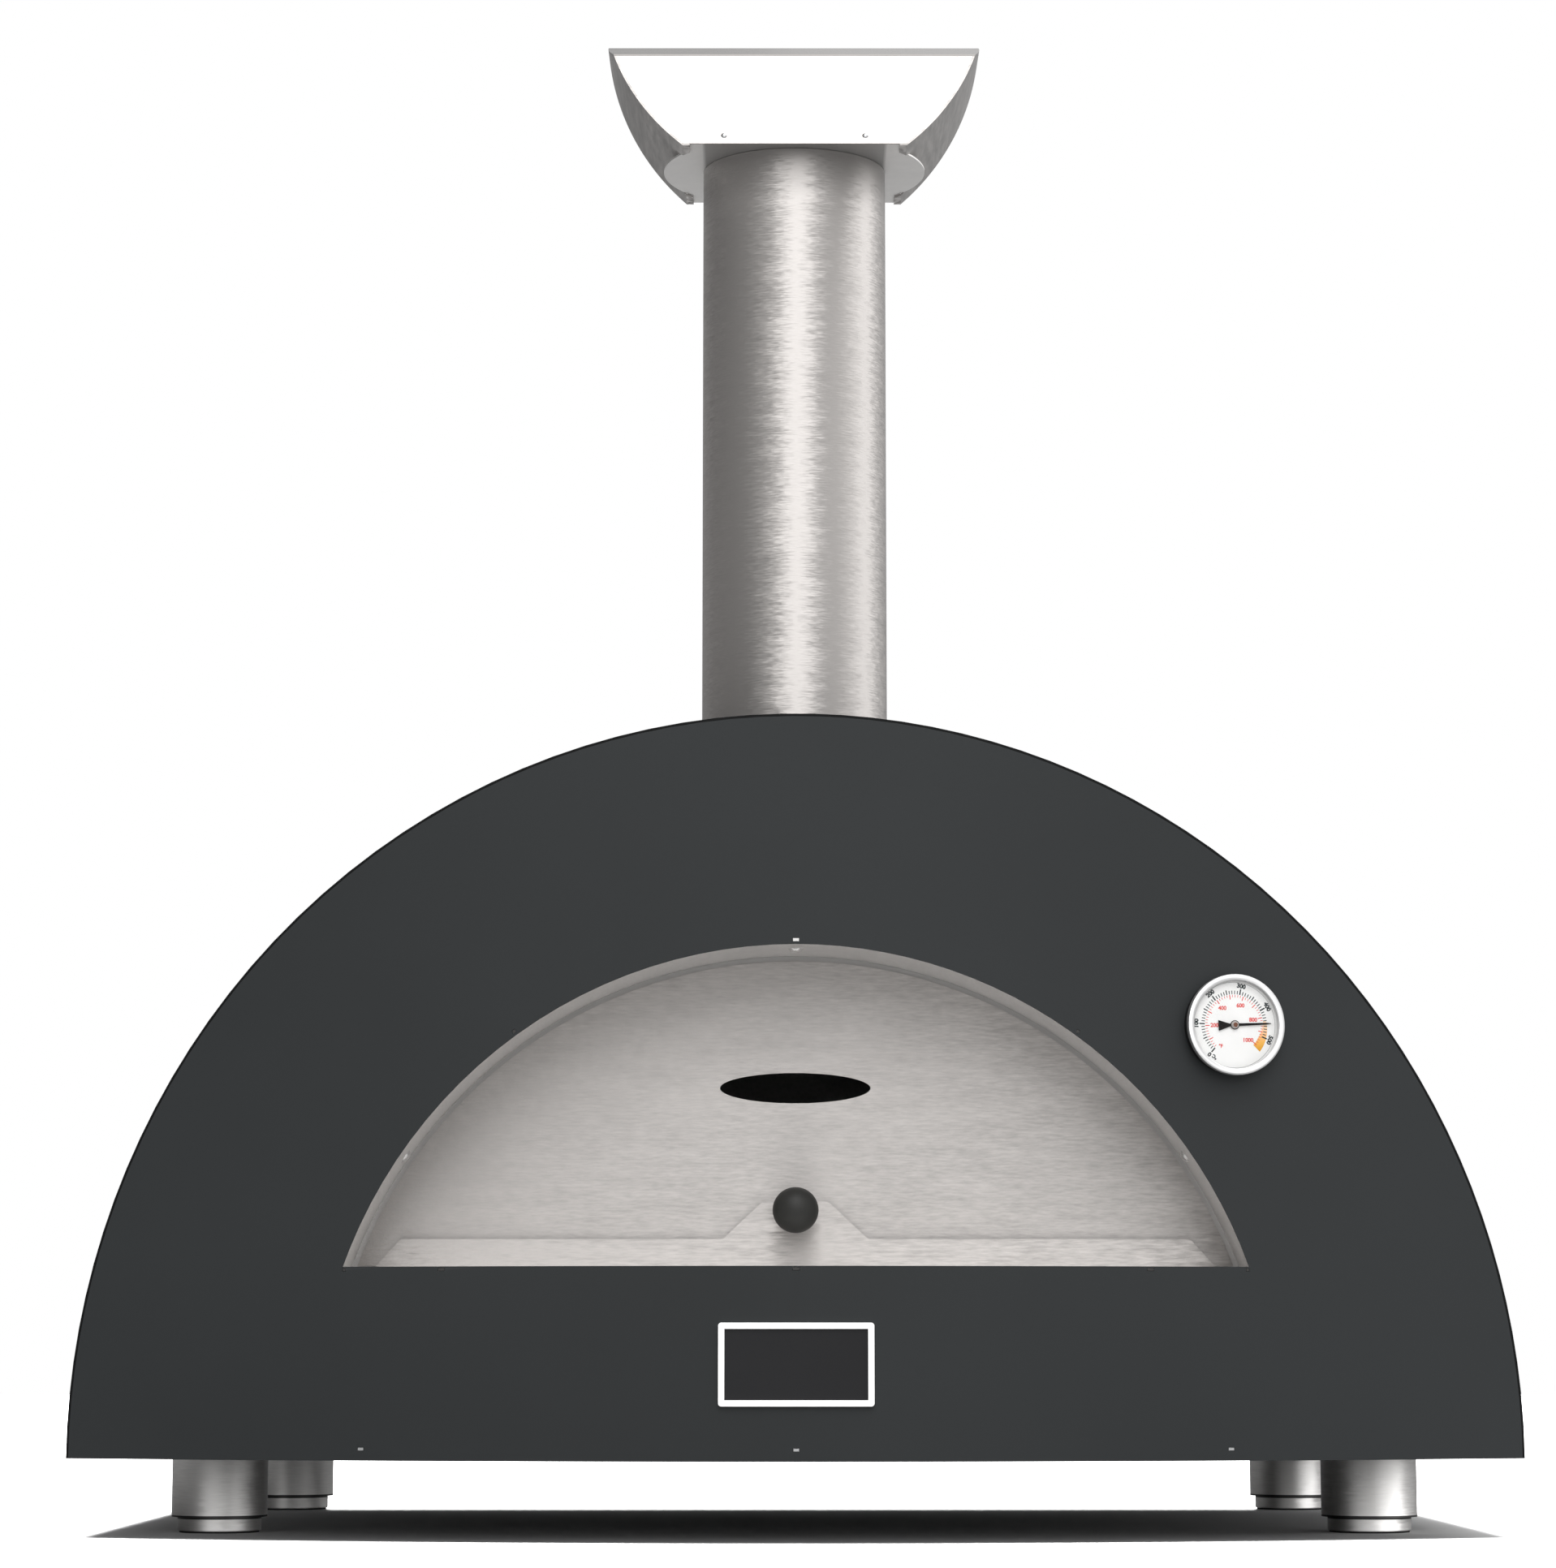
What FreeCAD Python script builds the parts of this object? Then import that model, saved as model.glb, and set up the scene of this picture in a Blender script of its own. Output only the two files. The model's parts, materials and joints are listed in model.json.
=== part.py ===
import FreeCAD, Part
import math
import os

# Wood fired pizza oven, millimetres.
# +X is the oven's right side seen from the front, -Y is the front, +Z is up.
# The origin is on the ground, at the middle of the oven's width and depth.
# Depths are counted backwards from the crown of the bowed facade.

V = FreeCAD.Vector

# ---- driving dimensions -------------------------------------------------
FRONT_Y = -462.37         # Y of the facade's crown
GAP = 0.3                 # gap between pieces that move or only touch

# facade: an upright arch, bowed forwards about a vertical axis
FACADE_R = 575.0          # arch radius
FACADE_Z = 66.5           # height of the arch's centre
BASE_Z = 64.2             # lower edge of the body
BOW_R = 1583.0            # radius of the bow
SKIN = 2.0                # facade and rear sheet
FLANGE = 14.0             # depth of the facade's turned edge

# tabs of the liner and the base pan that show in slots of the facade
TAB_REACH = 0.2           # their ends sit this far behind the face
LINER_TABS = ((90.0, 4.6), (54.5, 2.4), (125.5, 2.4))     # angle on the liner, width
SILL_TABS = ((-352.0, 2.2), (-275.0, 5.0), (0.0, 5.0), (275.0, 5.0), (352.0, 2.2))
SILL_TAB_Z = 211.1
SILL_TAB_H = 2.0
PAN_TABS = (-337.0, 0.0, 337.0)
PAN_TAB_Z = 73.2
PAN_TAB_W = 4.2
PAN_TAB_H = 2.0
SLOT_ROOM = 0.5           # a slot is this much wider than its tab

# roof shell
SHELL_R = 577.0           # outside
SHELL_T = 1.8
SHELL_LIP = 27.0          # inward flange at the rear
REAR_D = 923.0            # depth of the rear panel's front face
REAR_SCREWS = 9
REAR_SCREW_R = 561.0      # they stand on this radius
REAR_SCREW_FIRST = 6.0    # angle of the lowest one
SCREW = (4.5, 3.0, 2.0)   # head radius, head height and shank radius of a sheet screw
SCREW_HOLE_R = 2.2

# mouth
MOUTH_R = 375.0           # edge of the facade's cut-out
MOUTH_Z = 87.3            # height of its centre
SILL_Z = 213.4            # top of the sill and of the oven floor
LINER_R = 377.0           # inside of the liner
LINER_T = 2.5
LINER_D = 128.0           # depth of the liner's rear face
STOP_R = 352.0            # inner edge of the stop lip behind the door
SILL_HALF = 328.0         # half width of the sill between the stop lip and the tiles
LINER_SCREWS = ((90.0, 62.0), (145.3, 95.0), (34.7, 95.0))      # angle on the liner, depth
LINER_SCREW = (5.8, 3.2, 3.0, 12.0)       # head radius and height, shank radius and length

# chamber
VAULT_R = 520.0
VAULT_Z = 55.0
VAULT_T = 2.0
VAULT_FRONT_D = 132.2
VAULT_REAR_D = 862.0
WALL = 2.0                # inner front and rear walls
PLATE_Z = 126.6           # steel plate under the floor
PLATE_T = 3.0
BOARD_Z = 129.8           # insulating board
TILE_Z = 183.0            # floor tiles
TILE_SIDE = 494.0         # half width of the tiled floor
TILE_D0 = 134.5           # its front edge
TILE_JOINT = 1.0
TILE_CHAMFER = 1.2
BOARD_SIDE = 500.0        # half width of the insulating board
PLATE_SIDE = 523.0        # half width of the steel plate

# base
PAN_SIDE = 571.0
PAN_WALL_Z = 110.0
RAIL_Z = 66.4
RAIL_H = 60.0
RAIL_W = 50.0
RAIL_D0 = 95.0            # the two long rails run between these depths
RAIL_D1 = 910.0
CROSS_D = (230.0, 800.0)  # front faces of the two cross tubes
TUBE_WALL = 2.0

# feet
FOOT_X = 477.0
FOOT_D = (281.0, 804.5)
FOOT_R = 39.5
FOOT_LIP_Z = 12.8
FOOT_BASE_R = 34.5
FOOT_BOSS_R = 10.0
FOOT_BOSS_Z = 45.0
FOOT_NAMES = ("front_left", "front_right", "rear_left", "rear_right")
PAD_T = 1.4
BOLT_R = 5.0
BOLT_HEAD = (17.0, 6.5)   # across flats, height

# flue
FLUE_D = 208.0
FLUE_R = 77.0
FLUE_WALL = 1.0
FLUE_BOTTOM_Z = 590.0
FLUE_TOP_Z = 1138.7
SPIGOT_R = 75.6           # outside of the spigots that fit inside the pipe
SPIGOT_WALL = 1.6
SPIGOT_Z = (560.0, 700.0) # the vault's spigot
FLANGE_T = 2.0            # saddle flange on the roof
FLANGE_R = 122.0
FLANGE_COLLAR_Z = 657.0
FLANGE_SCREWS = ((-10.5, 208.0), (10.5, 208.0), (0.0, 103.0), (0.0, 313.0))     # roof angle, depth

# cap
CAP_Z = 1139.0            # underside of the cap's base plate
CAP_HALF = 90.0           # half depth of the cap
CAP_FRONT_D = FLUE_D - CAP_HALF
CAP_REAR_D = FLUE_D + CAP_HALF
CAP_BASE_HALF = 92.0      # half width of the base plate beside its lobes
CAP_LOBE_R = 110.5        # round lobes of the base plate
CAP_WING_R = 202.0        # curve of a wing
CAP_WING_X = 40.0         # its centre lies this far across the middle
CAP_WING_Z = 1289.5
CAP_LEAN = 34.0           # how far the front plate leans back
CAP_FRONT_Z = 1226.0      # height of the lid's front edge
CAP_REAR_Z = 1278.0
CAP_T = 1.5
CAP_TAB_X = (87.0, 96.0)  # the wings' tabs lie between these under the base plate
CAP_SPIGOT_L = 60.0
CAP_RIVET_X = 58.5
CAP_RIVET_Z = 1146.5
CAP_RIVET = (2.6, 1.2, 1.4, 3.0)          # head radius and height, shank radius and length

# thermometer
GAUGE_X = 341.8
GAUGE_Z = 401.4
GAUGE_R = 39.6
GAUGE_REACH = 14.0        # how far the bezel stands out
BEZEL_BACK = 8.8          # height of the bezel's rear edge above the facade
BEZEL_LIP_R = 34.6        # radius of the window in the bezel
GAUGE_BOSS_R = 8.0        # threaded boss through the facade
CASE_R = 38.6
CASE_WALL = 1.4
DIAL_H = 6.4              # heights above the facade, of the dial and of the lens
LENS_H = 11.4
PROBE_L = 135.0
PROBE_R = 4.0
SPINDLE_R = 1.2
HUB_R = 2.4
NEEDLE_RING_R = 3.6
NEEDLE_TIP = 29.8
NEEDLE_TAIL = 13.4
NEEDLE_T = 0.6
NEEDLE_REST = 3.0         # degrees above the horizontal, seen from the front

# badge
BADGE_W = 120.0
BADGE_H = 63.8
BADGE_Z = 138.1
BADGE_EDGE = 4.8
BADGE_CORNER = 2.5
BADGE_T = 3.0

# door
DOOR_R = 372.8
DOOR_D = 123.6            # depth of its front face
DOOR_T = 2.0
DOOR_FOOT_D = 116.0       # depth of the foot's front face
DOOR_FOOT_L = 46.0
DOOR_FOOT_Z = SILL_Z + 0.4
DOOR_FOOT_TOP = 237.0
DOOR_BUMP_TOP = 267.0     # top of the foot's raised middle, behind the knob
DOOR_FOOT_HALF = (336.0, 315.0)   # half width at its bottom and its top
DOOR_BUMP_HALF = (58.0, 26.0)
DOOR_TREAD_HALF = 318.0   # passes inside the stop lip
SLOT_Z = 357.8
SLOT_HALF_W = 60.4
SLOT_HALF_H = 12.2
KNOB_Z = 259.0
KNOB_R = 18.2
KNOB_D = 86.0
KNOB_NECK_R = 7.0
STUD_R = 4.0


# ---- helpers ------------------------------------------------------------
def y_at(depth):
    return FRONT_Y + depth


def bow_depth(x):
    """Depth of the facade at a distance x from the middle."""
    return BOW_R - math.sqrt(BOW_R * BOW_R - x * x)


def box(x0, x1, d0, d1, z0, z1):
    return Part.makeBox(x1 - x0, d1 - d0, z1 - z0, V(x0, y_at(d0), z0))


def bow(radius, z0=0.0, z1=700.0):
    """Everything behind a face of the given radius about the bow's axis."""
    return Part.makeCylinder(radius, z1 - z0, V(0, y_at(BOW_R), z0), V(0, 0, 1))


def arch(radius, centre_z, floor_z, d0, d1):
    """A prism along Y: a circle's part above a level floor."""
    half = math.sqrt(radius * radius - (floor_z - centre_z) ** 2)
    left = V(-half, y_at(d0), floor_z)
    right = V(half, y_at(d0), floor_z)
    top = V(0, y_at(d0), centre_z + radius)
    edges = [Part.Arc(right, top, left).toShape(), Part.makeLine(left, right)]
    return Part.Face(Part.Wire(edges)).extrude(V(0, d1 - d0, 0))


def upright(radius, z0, z1, x=0.0, depth=FLUE_D):
    return Part.makeCylinder(radius, z1 - z0, V(x, y_at(depth), z0), V(0, 0, 1))


def tube(radius, wall, z0, z1, x=0.0, depth=FLUE_D):
    return upright(radius, z0, z1, x, depth).cut(upright(radius - wall, z0, z1, x, depth))


def prism(points, direction):
    """A closed polygon of (x, depth, z) points, extruded."""
    corners = [V(x, y_at(d), z) for x, d, z in points]
    return Part.Face(Part.makePolygon(corners + corners[:1])).extrude(direction)


def revolve(profile):
    """A closed (radius, height) outline turned about Z."""
    corners = [V(r, 0, h) for r, h in profile]
    face = Part.Face(Part.makePolygon(corners + corners[:1]))
    return face.revolve(V(0, 0, 0), V(0, 0, 1), 360)


def hexagon(across, height, bore):
    """A nut on the XY plane, about Z."""
    r = across / math.sqrt(3)
    corners = [V(r * math.cos(math.radians(60 * i)), r * math.sin(math.radians(60 * i)), 0) for i in range(7)]
    nut = Part.Face(Part.makePolygon(corners)).extrude(V(0, 0, height))
    return nut.cut(Part.makeCylinder(bore, height))


def dome_rivet(head_r, head_h, shank_r, shank_l):
    """A domed head above the XY plane and its shank below."""
    dome_r = (head_r * head_r + head_h * head_h) / (2 * head_h)
    ball = Part.makeSphere(dome_r, V(0, 0, head_h - dome_r))
    head = ball.common(Part.makeCylinder(head_r, head_h))
    shank = Part.makeCylinder(shank_r, shank_l, V(0, 0, -shank_l))
    return head.fuse(shank).removeSplitter()


def dome_screw(head_r, head_h, shank_r, shank_l):
    """The same with a round socket in the head."""
    socket = Part.makeCylinder(0.35 * head_r, 0.55 * head_h, V(0, 0, 0.45 * head_h))
    return dome_rivet(head_r, head_h, shank_r, shank_l).cut(socket)


def place(shape, origin, right, up, out):
    """Puts local X, Y and Z along three directions, at an origin."""
    matrix = FreeCAD.Matrix(
        right.x, up.x, out.x, origin.x,
        right.y, up.y, out.y, origin.y,
        right.z, up.z, out.z, origin.z,
        0, 0, 0, 1)
    moved = shape.copy()
    moved.Placement = FreeCAD.Placement(matrix).multiply(shape.Placement)
    return moved


def aim(shape, origin, out):
    """Points a shape's local Z along a direction."""
    moved = shape.copy()
    moved.Placement = FreeCAD.Placement(origin, FreeCAD.Rotation(V(0, 0, 1), out)).multiply(shape.Placement)
    return moved


def save(name, shape):
    shape.exportStep("parts/" + name + ".step")
    print(name, len(shape.Solids), round(shape.Volume / 1000.0, 2), shape.isValid())


# ---- tabs that show on the facade ----------------------------------------
def tab_block(x, z, width, height, angle=0.0):
    """A short bar along Y through the facade, turned about its own middle."""
    back = bow_depth(x) + 7.0
    bar = box(x - width / 2, x + width / 2, -5.0, back, z - height / 2, z + height / 2)
    bar.rotate(V(x, 0, z), V(0, 1, 0), angle)
    return bar


def liner_tab_blocks(grow):
    blocks = []
    middle = LINER_R + LINER_T / 2
    for angle, width in LINER_TABS:
        turn = math.radians(angle)
        x = middle * math.cos(turn)
        z = MOUTH_Z + middle * math.sin(turn)
        blocks.append(tab_block(x, z, width + grow, LINER_T + grow - 0.2, 90.0 - angle))
    for x, width in SILL_TABS:
        blocks.append(tab_block(x, SILL_TAB_Z, width + grow, SILL_TAB_H + grow))
    return blocks


def pan_tab_blocks(grow):
    return [tab_block(x, PAN_TAB_Z, PAN_TAB_W + grow, PAN_TAB_H + grow) for x in PAN_TABS]


# ---- casing --------------------------------------------------------------
def facade_panel():
    outline = arch(FACADE_R, FACADE_Z, BASE_Z, -5.0, 150.0)
    inside = arch(FACADE_R - SKIN, FACADE_Z, BASE_Z - 1.0, -5.0, 150.0)
    mouth = arch(MOUTH_R, MOUTH_Z, SILL_Z, -6.0, 151.0)
    skin = outline.common(bow(BOW_R)).cut(bow(BOW_R - SKIN))
    edge = outline.cut(inside).common(bow(BOW_R)).cut(bow(BOW_R - FLANGE))
    panel = skin.fuse(edge).removeSplitter().cut(mouth)
    for block in liner_tab_blocks(SLOT_ROOM) + pan_tab_blocks(SLOT_ROOM):
        panel = panel.cut(block)
    stem_hole = Part.makeCylinder(GAUGE_BOSS_R + GAP, 30.0, V(0, 0, -15.0))
    return panel.cut(gauge_frame(stem_hole))


def roof_shell():
    outside = arch(SHELL_R, FACADE_Z, BASE_Z, -5.0, REAR_D - 0.1)
    inside = arch(SHELL_R - SHELL_T, FACADE_Z, BASE_Z - 2.0, -6.0, REAR_D - 0.1 - SKIN)
    lip_hole = arch(SHELL_R - SHELL_T - SHELL_LIP, FACADE_Z, BASE_Z - 2.0, REAR_D - 5.0, REAR_D + 1.0)
    ahead = box(-600, 600, -10.0, 160.0, 0.0, 700.0).cut(bow(BOW_R, -1.0, 701.0))
    shell = outside.cut(inside).cut(lip_hole).cut(ahead)
    shell = shell.cut(upright(FLUE_R + 2.0, 600.0, 700.0))
    for angle, depth in FLANGE_SCREWS:
        shell = shell.cut(radial_bar(angle, depth, SCREW_HOLE_R))
    for x, z in rear_screw_places():
        shell = shell.cut(bar_along_y(x, z, SCREW_HOLE_R, REAR_D - 10.0, REAR_D + 10.0))
    return shell


def rear_panel():
    outline = arch(SHELL_R, FACADE_Z, BASE_Z, REAR_D, REAR_D + SKIN)
    for x, z in rear_screw_places():
        outline = outline.cut(bar_along_y(x, z, SCREW_HOLE_R, REAR_D - 1.0, REAR_D + 10.0))
    return outline


def rear_screw_places():
    step = (180.0 - 2 * REAR_SCREW_FIRST) / (REAR_SCREWS - 1)
    places = []
    for i in range(REAR_SCREWS):
        turn = math.radians(REAR_SCREW_FIRST + i * step)
        places.append((REAR_SCREW_R * math.cos(turn), FACADE_Z + REAR_SCREW_R * math.sin(turn)))
    return places


def bar_along_y(x, z, radius, d0, d1):
    return Part.makeCylinder(radius, d1 - d0, V(x, y_at(d0), z), V(0, 1, 0))


def rear_screws():
    screw = dome_screw(*SCREW, 9.0)
    return Part.makeCompound([
        aim(screw, V(x, y_at(REAR_D + SKIN), z), V(0, 1, 0)) for x, z in rear_screw_places()])


# ---- base ----------------------------------------------------------------
def pan_block(inset, z0, z1):
    side = PAN_SIDE - inset
    block = box(-side, side, -1.0, REAR_D - SHELL_T - 2.5 - inset, z0, z1)
    return block.common(bow(BOW_R - SKIN - GAP - inset, 0.0, 200.0))


def base_pan():
    pan = pan_block(0.0, BASE_Z, PAN_WALL_Z).cut(pan_block(SKIN, BASE_Z + SKIN, PAN_WALL_Z + 1.0))
    keep = bow(BOW_R - TAB_REACH, 0.0, 200.0).cut(bow(BOW_R - SKIN - 1.0, -1.0, 201.0))
    for block in pan_tab_blocks(0.0):
        pan = pan.fuse(block.common(keep))
    pan = pan.removeSplitter()
    for x, depth in foot_places():
        pan = pan.cut(upright(BOLT_R + 0.5, BASE_Z - 1.0, BASE_Z + 5.0, x, depth))
    return pan


def rail(side):
    x0 = side * FOOT_X - RAIL_W / 2
    x1 = side * FOOT_X + RAIL_W / 2
    outer = box(x0, x1, RAIL_D0, RAIL_D1, RAIL_Z, RAIL_Z + RAIL_H)
    inner = box(x0 + TUBE_WALL, x1 - TUBE_WALL, RAIL_D0 - 1.0, RAIL_D1 + 1.0,
                RAIL_Z + TUBE_WALL, RAIL_Z + RAIL_H - TUBE_WALL)
    bar = outer.cut(inner)
    for depth in FOOT_D:
        bar = bar.cut(upright(BOLT_R + 0.5, RAIL_Z - 1.0, RAIL_Z + 5.0, side * FOOT_X, depth))
    return bar


def cross_tube(depth):
    half = FOOT_X - RAIL_W / 2 - 0.2
    outer = box(-half, half, depth, depth + RAIL_W, RAIL_Z, RAIL_Z + RAIL_H)
    inner = box(-half - 1, half + 1, depth + TUBE_WALL, depth + RAIL_W - TUBE_WALL,
                RAIL_Z + TUBE_WALL, RAIL_Z + RAIL_H - TUBE_WALL)
    return outer.cut(inner)


# ---- feet ----------------------------------------------------------------
def foot_places():
    return [(side * FOOT_X, depth) for depth in FOOT_D for side in (-1, 1)]


def foot_tube(x, depth):
    cup = upright(FOOT_R, FOOT_LIP_Z, BASE_Z, x, depth)
    cup = cup.cut(upright(FOOT_R - 2.0, FOOT_LIP_Z - 1.0, BASE_Z - 3.0, x, depth))
    return cup.cut(upright(BOLT_R + 0.5, BASE_Z - 5.0, BASE_Z + 1.0, x, depth))


def foot_base(x, depth):
    base = upright(FOOT_BASE_R, PAD_T, FOOT_LIP_Z + 4.0, x, depth)
    rims = [edge for edge in base.Edges if edge.BoundBox.ZLength < 0.01]
    base = base.makeFillet(1.0, rims)
    base = base.fuse(upright(FOOT_BOSS_R, FOOT_LIP_Z + 3.0, FOOT_BOSS_Z, x, depth)).removeSplitter()
    return base.cut(upright(BOLT_R + 0.05, 18.0, FOOT_BOSS_Z + 1.0, x, depth))


def foot_pads():
    return Part.makeCompound([upright(FOOT_BASE_R - 1.5, 0.0, PAD_T - 0.05, x, d) for x, d in foot_places()])


def foot_bolts():
    seat = RAIL_Z + TUBE_WALL
    bolts = []
    for x, depth in foot_places():
        shank = upright(BOLT_R, 20.0, seat + 1.0, x, depth)
        head = aim(hexagon(*BOLT_HEAD, 0.1), V(x, y_at(depth), seat + 0.05), V(0, 0, 1))
        bolts.append(shank.fuse(head).removeSplitter())
    return Part.makeCompound(bolts)


# ---- mouth ---------------------------------------------------------------
def mouth_liner():
    outer = arch(LINER_R + LINER_T, MOUTH_Z, SILL_Z - LINER_T, -5.0, LINER_D)
    inner = arch(LINER_R, MOUTH_Z, SILL_Z, -6.0, LINER_D + 1.0)
    band = outer.cut(inner).common(bow(BOW_R - SKIN - 0.1))
    lip = arch(LINER_R + 1.0, MOUTH_Z, SILL_Z - 1.0, LINER_D - 2.0, LINER_D)
    lip = lip.cut(arch(STOP_R, MOUTH_Z, SILL_Z - 2.0, LINER_D - 3.0, LINER_D + 1.0))
    sill = box(-SILL_HALF, SILL_HALF, LINER_D - 1.0, TILE_D0 - 0.2, SILL_Z - LINER_T, SILL_Z)
    liner = band.fuse([lip, sill]).removeSplitter()
    keep = bow(BOW_R - TAB_REACH).cut(bow(BOW_R - SKIN - 2.0, -1.0, 701.0))
    for block in liner_tab_blocks(0.0):
        liner = liner.fuse(block.common(keep))
    liner = liner.removeSplitter()
    for angle, depth in LINER_SCREWS:
        origin, inward = liner_point(angle, depth)
        hole = Part.makeCylinder(LINER_SCREW[2] + 0.2, 20.0, V(0, 0, -10.0))
        liner = liner.cut(aim(hole, origin, inward))
    return liner


def liner_point(angle, depth):
    turn = math.radians(angle)
    out = V(math.cos(turn), 0, math.sin(turn))
    return V(0, y_at(depth), MOUTH_Z) + out * LINER_R, out * -1


def liner_screws():
    screw = dome_rivet(*LINER_SCREW)
    screws = []
    for angle, depth in LINER_SCREWS:
        origin, inward = liner_point(angle, depth)
        screws.append(aim(screw, origin + inward * 0.05, inward))
    return Part.makeCompound(screws)


# ---- chamber -------------------------------------------------------------
def floor_tile(column, row):
    width = TILE_SIDE - TILE_JOINT / 2
    x0 = TILE_JOINT / 2 if column else -TILE_SIDE
    length = (VAULT_REAR_D - 0.5 - TILE_D0 - TILE_JOINT) / 2
    d0 = TILE_D0 + row * (length + TILE_JOINT)
    tile = box(x0, x0 + width, d0, d0 + length, TILE_Z, SILL_Z)
    upper = [e for e in tile.Edges if e.BoundBox.ZMin > SILL_Z - 0.01]
    return tile.makeChamfer(TILE_CHAMFER, upper)


def floor_plate():
    plate = box(-PLATE_SIDE, PLATE_SIDE, RAIL_D0, RAIL_D1, PLATE_Z, PLATE_Z + PLATE_T)
    return plate.common(bow(BOW_R - 6.0))


def floor_board():
    return box(-BOARD_SIDE, BOARD_SIDE, VAULT_FRONT_D + 0.3, VAULT_REAR_D - 0.3, BOARD_Z, TILE_Z - 0.2)


def inner_vault():
    outside = arch(VAULT_R + VAULT_T, VAULT_Z, BOARD_Z, VAULT_FRONT_D, VAULT_REAR_D)
    inside = arch(VAULT_R, VAULT_Z, BOARD_Z - 2.0, VAULT_FRONT_D - 1.0, VAULT_REAR_D + 1.0)
    return outside.cut(inside).cut(upright(SPIGOT_R + 0.1, 500.0, 700.0))


def front_inner_wall():
    depth = VAULT_FRONT_D - 0.2 - WALL
    wall = arch(VAULT_R + VAULT_T, VAULT_Z, BOARD_Z, depth, depth + WALL)
    mouth = arch(STOP_R, MOUTH_Z, SILL_Z - LINER_T - 0.2, depth - 1.0, depth + WALL + 1.0)
    probe_hole = gauge_frame(Part.makeCylinder(PROBE_R + 1.0, 200.0, V(0, 0, -200.0)))
    return wall.cut(mouth).cut(probe_hole)


def rear_inner_wall():
    return arch(VAULT_R + VAULT_T, VAULT_Z, BOARD_Z, VAULT_REAR_D + 0.2, VAULT_REAR_D + 0.2 + WALL)


def vault_blanket():
    outside = arch(SHELL_R - SHELL_T - 1.5, FACADE_Z, BOARD_Z + 0.5, 130.0, VAULT_REAR_D + WALL)
    inside = arch(VAULT_R + VAULT_T + 0.4, VAULT_Z, BOARD_Z - 1.0, 129.0, VAULT_REAR_D + WALL + 1.0)
    return outside.cut(inside).cut(upright(FLUE_R + 0.5, 500.0, 700.0))


def front_blanket():
    outline = arch(FACADE_R - 4.0, FACADE_Z, BOARD_Z + 0.5, -1.0, VAULT_FRONT_D - WALL - 0.5)
    mouth = arch(LINER_R + LINER_T + 0.4, MOUTH_Z, SILL_Z - LINER_T - 0.6, -2.0, 140.0)
    blanket = outline.common(bow(BOW_R - SKIN - 5.0)).cut(mouth)
    blanket = blanket.cut(gauge_frame(Part.makeCylinder(14.0, 200.0, V(0, 0, -200.0))))
    for angle, depth in LINER_SCREWS:
        origin, inward = liner_point(angle, depth)
        blanket = blanket.cut(aim(Part.makeCylinder(4.0, 16.0), origin, inward * -1))
    return blanket


def rear_blanket():
    return arch(FACADE_R - 32.0, FACADE_Z, BOARD_Z + 0.5, VAULT_REAR_D + WALL + 0.5, REAR_D - 3.0)


# ---- flue ----------------------------------------------------------------
def radial_frame(angle, depth, radius):
    """A point on a cylinder about the roof's axis, and the way out there."""
    turn = math.radians(angle)
    out = V(math.sin(turn), 0, math.cos(turn))
    return V(0, y_at(depth), FACADE_Z) + out * radius, out


def radial_bar(angle, depth, radius):
    origin, out = radial_frame(angle, depth, SHELL_R - 10.0)
    return aim(Part.makeCylinder(radius, 30.0), origin, out)


def flue_flange():
    reach = (FLUE_D - FLANGE_R - 1.0, FLUE_D + FLANGE_R + 1.0)
    outer = arch(SHELL_R + 0.1 + FLANGE_T, FACADE_Z, 400.0, *reach)
    inner = arch(SHELL_R + 0.1, FACADE_Z, 390.0, reach[0] - 1.0, reach[1] + 1.0)
    saddle = outer.cut(inner).common(upright(FLANGE_R, 500.0, 700.0))
    collar = upright(FLUE_R + 0.3 + FLANGE_T, 600.0, FLANGE_COLLAR_Z).cut(inner)
    flange = saddle.fuse(collar).removeSplitter().cut(upright(FLUE_R + 0.3, 500.0, 700.0))
    for angle, depth in FLANGE_SCREWS:
        flange = flange.cut(radial_bar(angle, depth, SCREW_HOLE_R))
    return flange


def flange_screws():
    screw = dome_screw(*SCREW, 5.0)
    screws = []
    for angle, depth in FLANGE_SCREWS:
        origin, out = radial_frame(angle, depth, SHELL_R + 0.15 + FLANGE_T)
        screws.append(aim(screw, origin, out))
    return Part.makeCompound(screws)


def flue_pipe():
    return tube(FLUE_R, FLUE_WALL, FLUE_BOTTOM_Z, FLUE_TOP_Z)


def flue_spigot():
    return tube(SPIGOT_R, SPIGOT_WALL, *SPIGOT_Z).cut(arch(VAULT_R, VAULT_Z, BOARD_Z, 100.0, 400.0))


# ---- cap -----------------------------------------------------------------
def cap_profile(front_in, top_in):
    """The cap's side outline, full width, with its front and top faces moved in."""
    lean = CAP_LEAN / (CAP_FRONT_Z - CAP_Z)
    rise = (CAP_REAR_Z - CAP_FRONT_Z) / (2 * CAP_HALF - CAP_LEAN)
    start = CAP_FRONT_D + front_in
    top_z = CAP_FRONT_Z - top_in + rise * (start - lean * CAP_Z - CAP_FRONT_D - CAP_LEAN)
    top_z = top_z / (1 - rise * lean)
    top_d = start + lean * (top_z - CAP_Z)
    return prism([(-300.0, start, CAP_Z), (-300.0, top_d, top_z), (-300.0, CAP_REAR_D, CAP_REAR_Z - top_in),
                  (-300.0, CAP_REAR_D, CAP_Z)], V(600, 0, 0))


def cap_lens(inset):
    """The space between the two wing curves."""
    radius = CAP_WING_R - inset
    ends = (CAP_FRONT_D - 1.0, CAP_REAR_D + 1.0)
    left = bar_along_y(-CAP_WING_X, CAP_WING_Z, radius, *ends)
    return left.common(bar_along_y(CAP_WING_X, CAP_WING_Z, radius, *ends))


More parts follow.
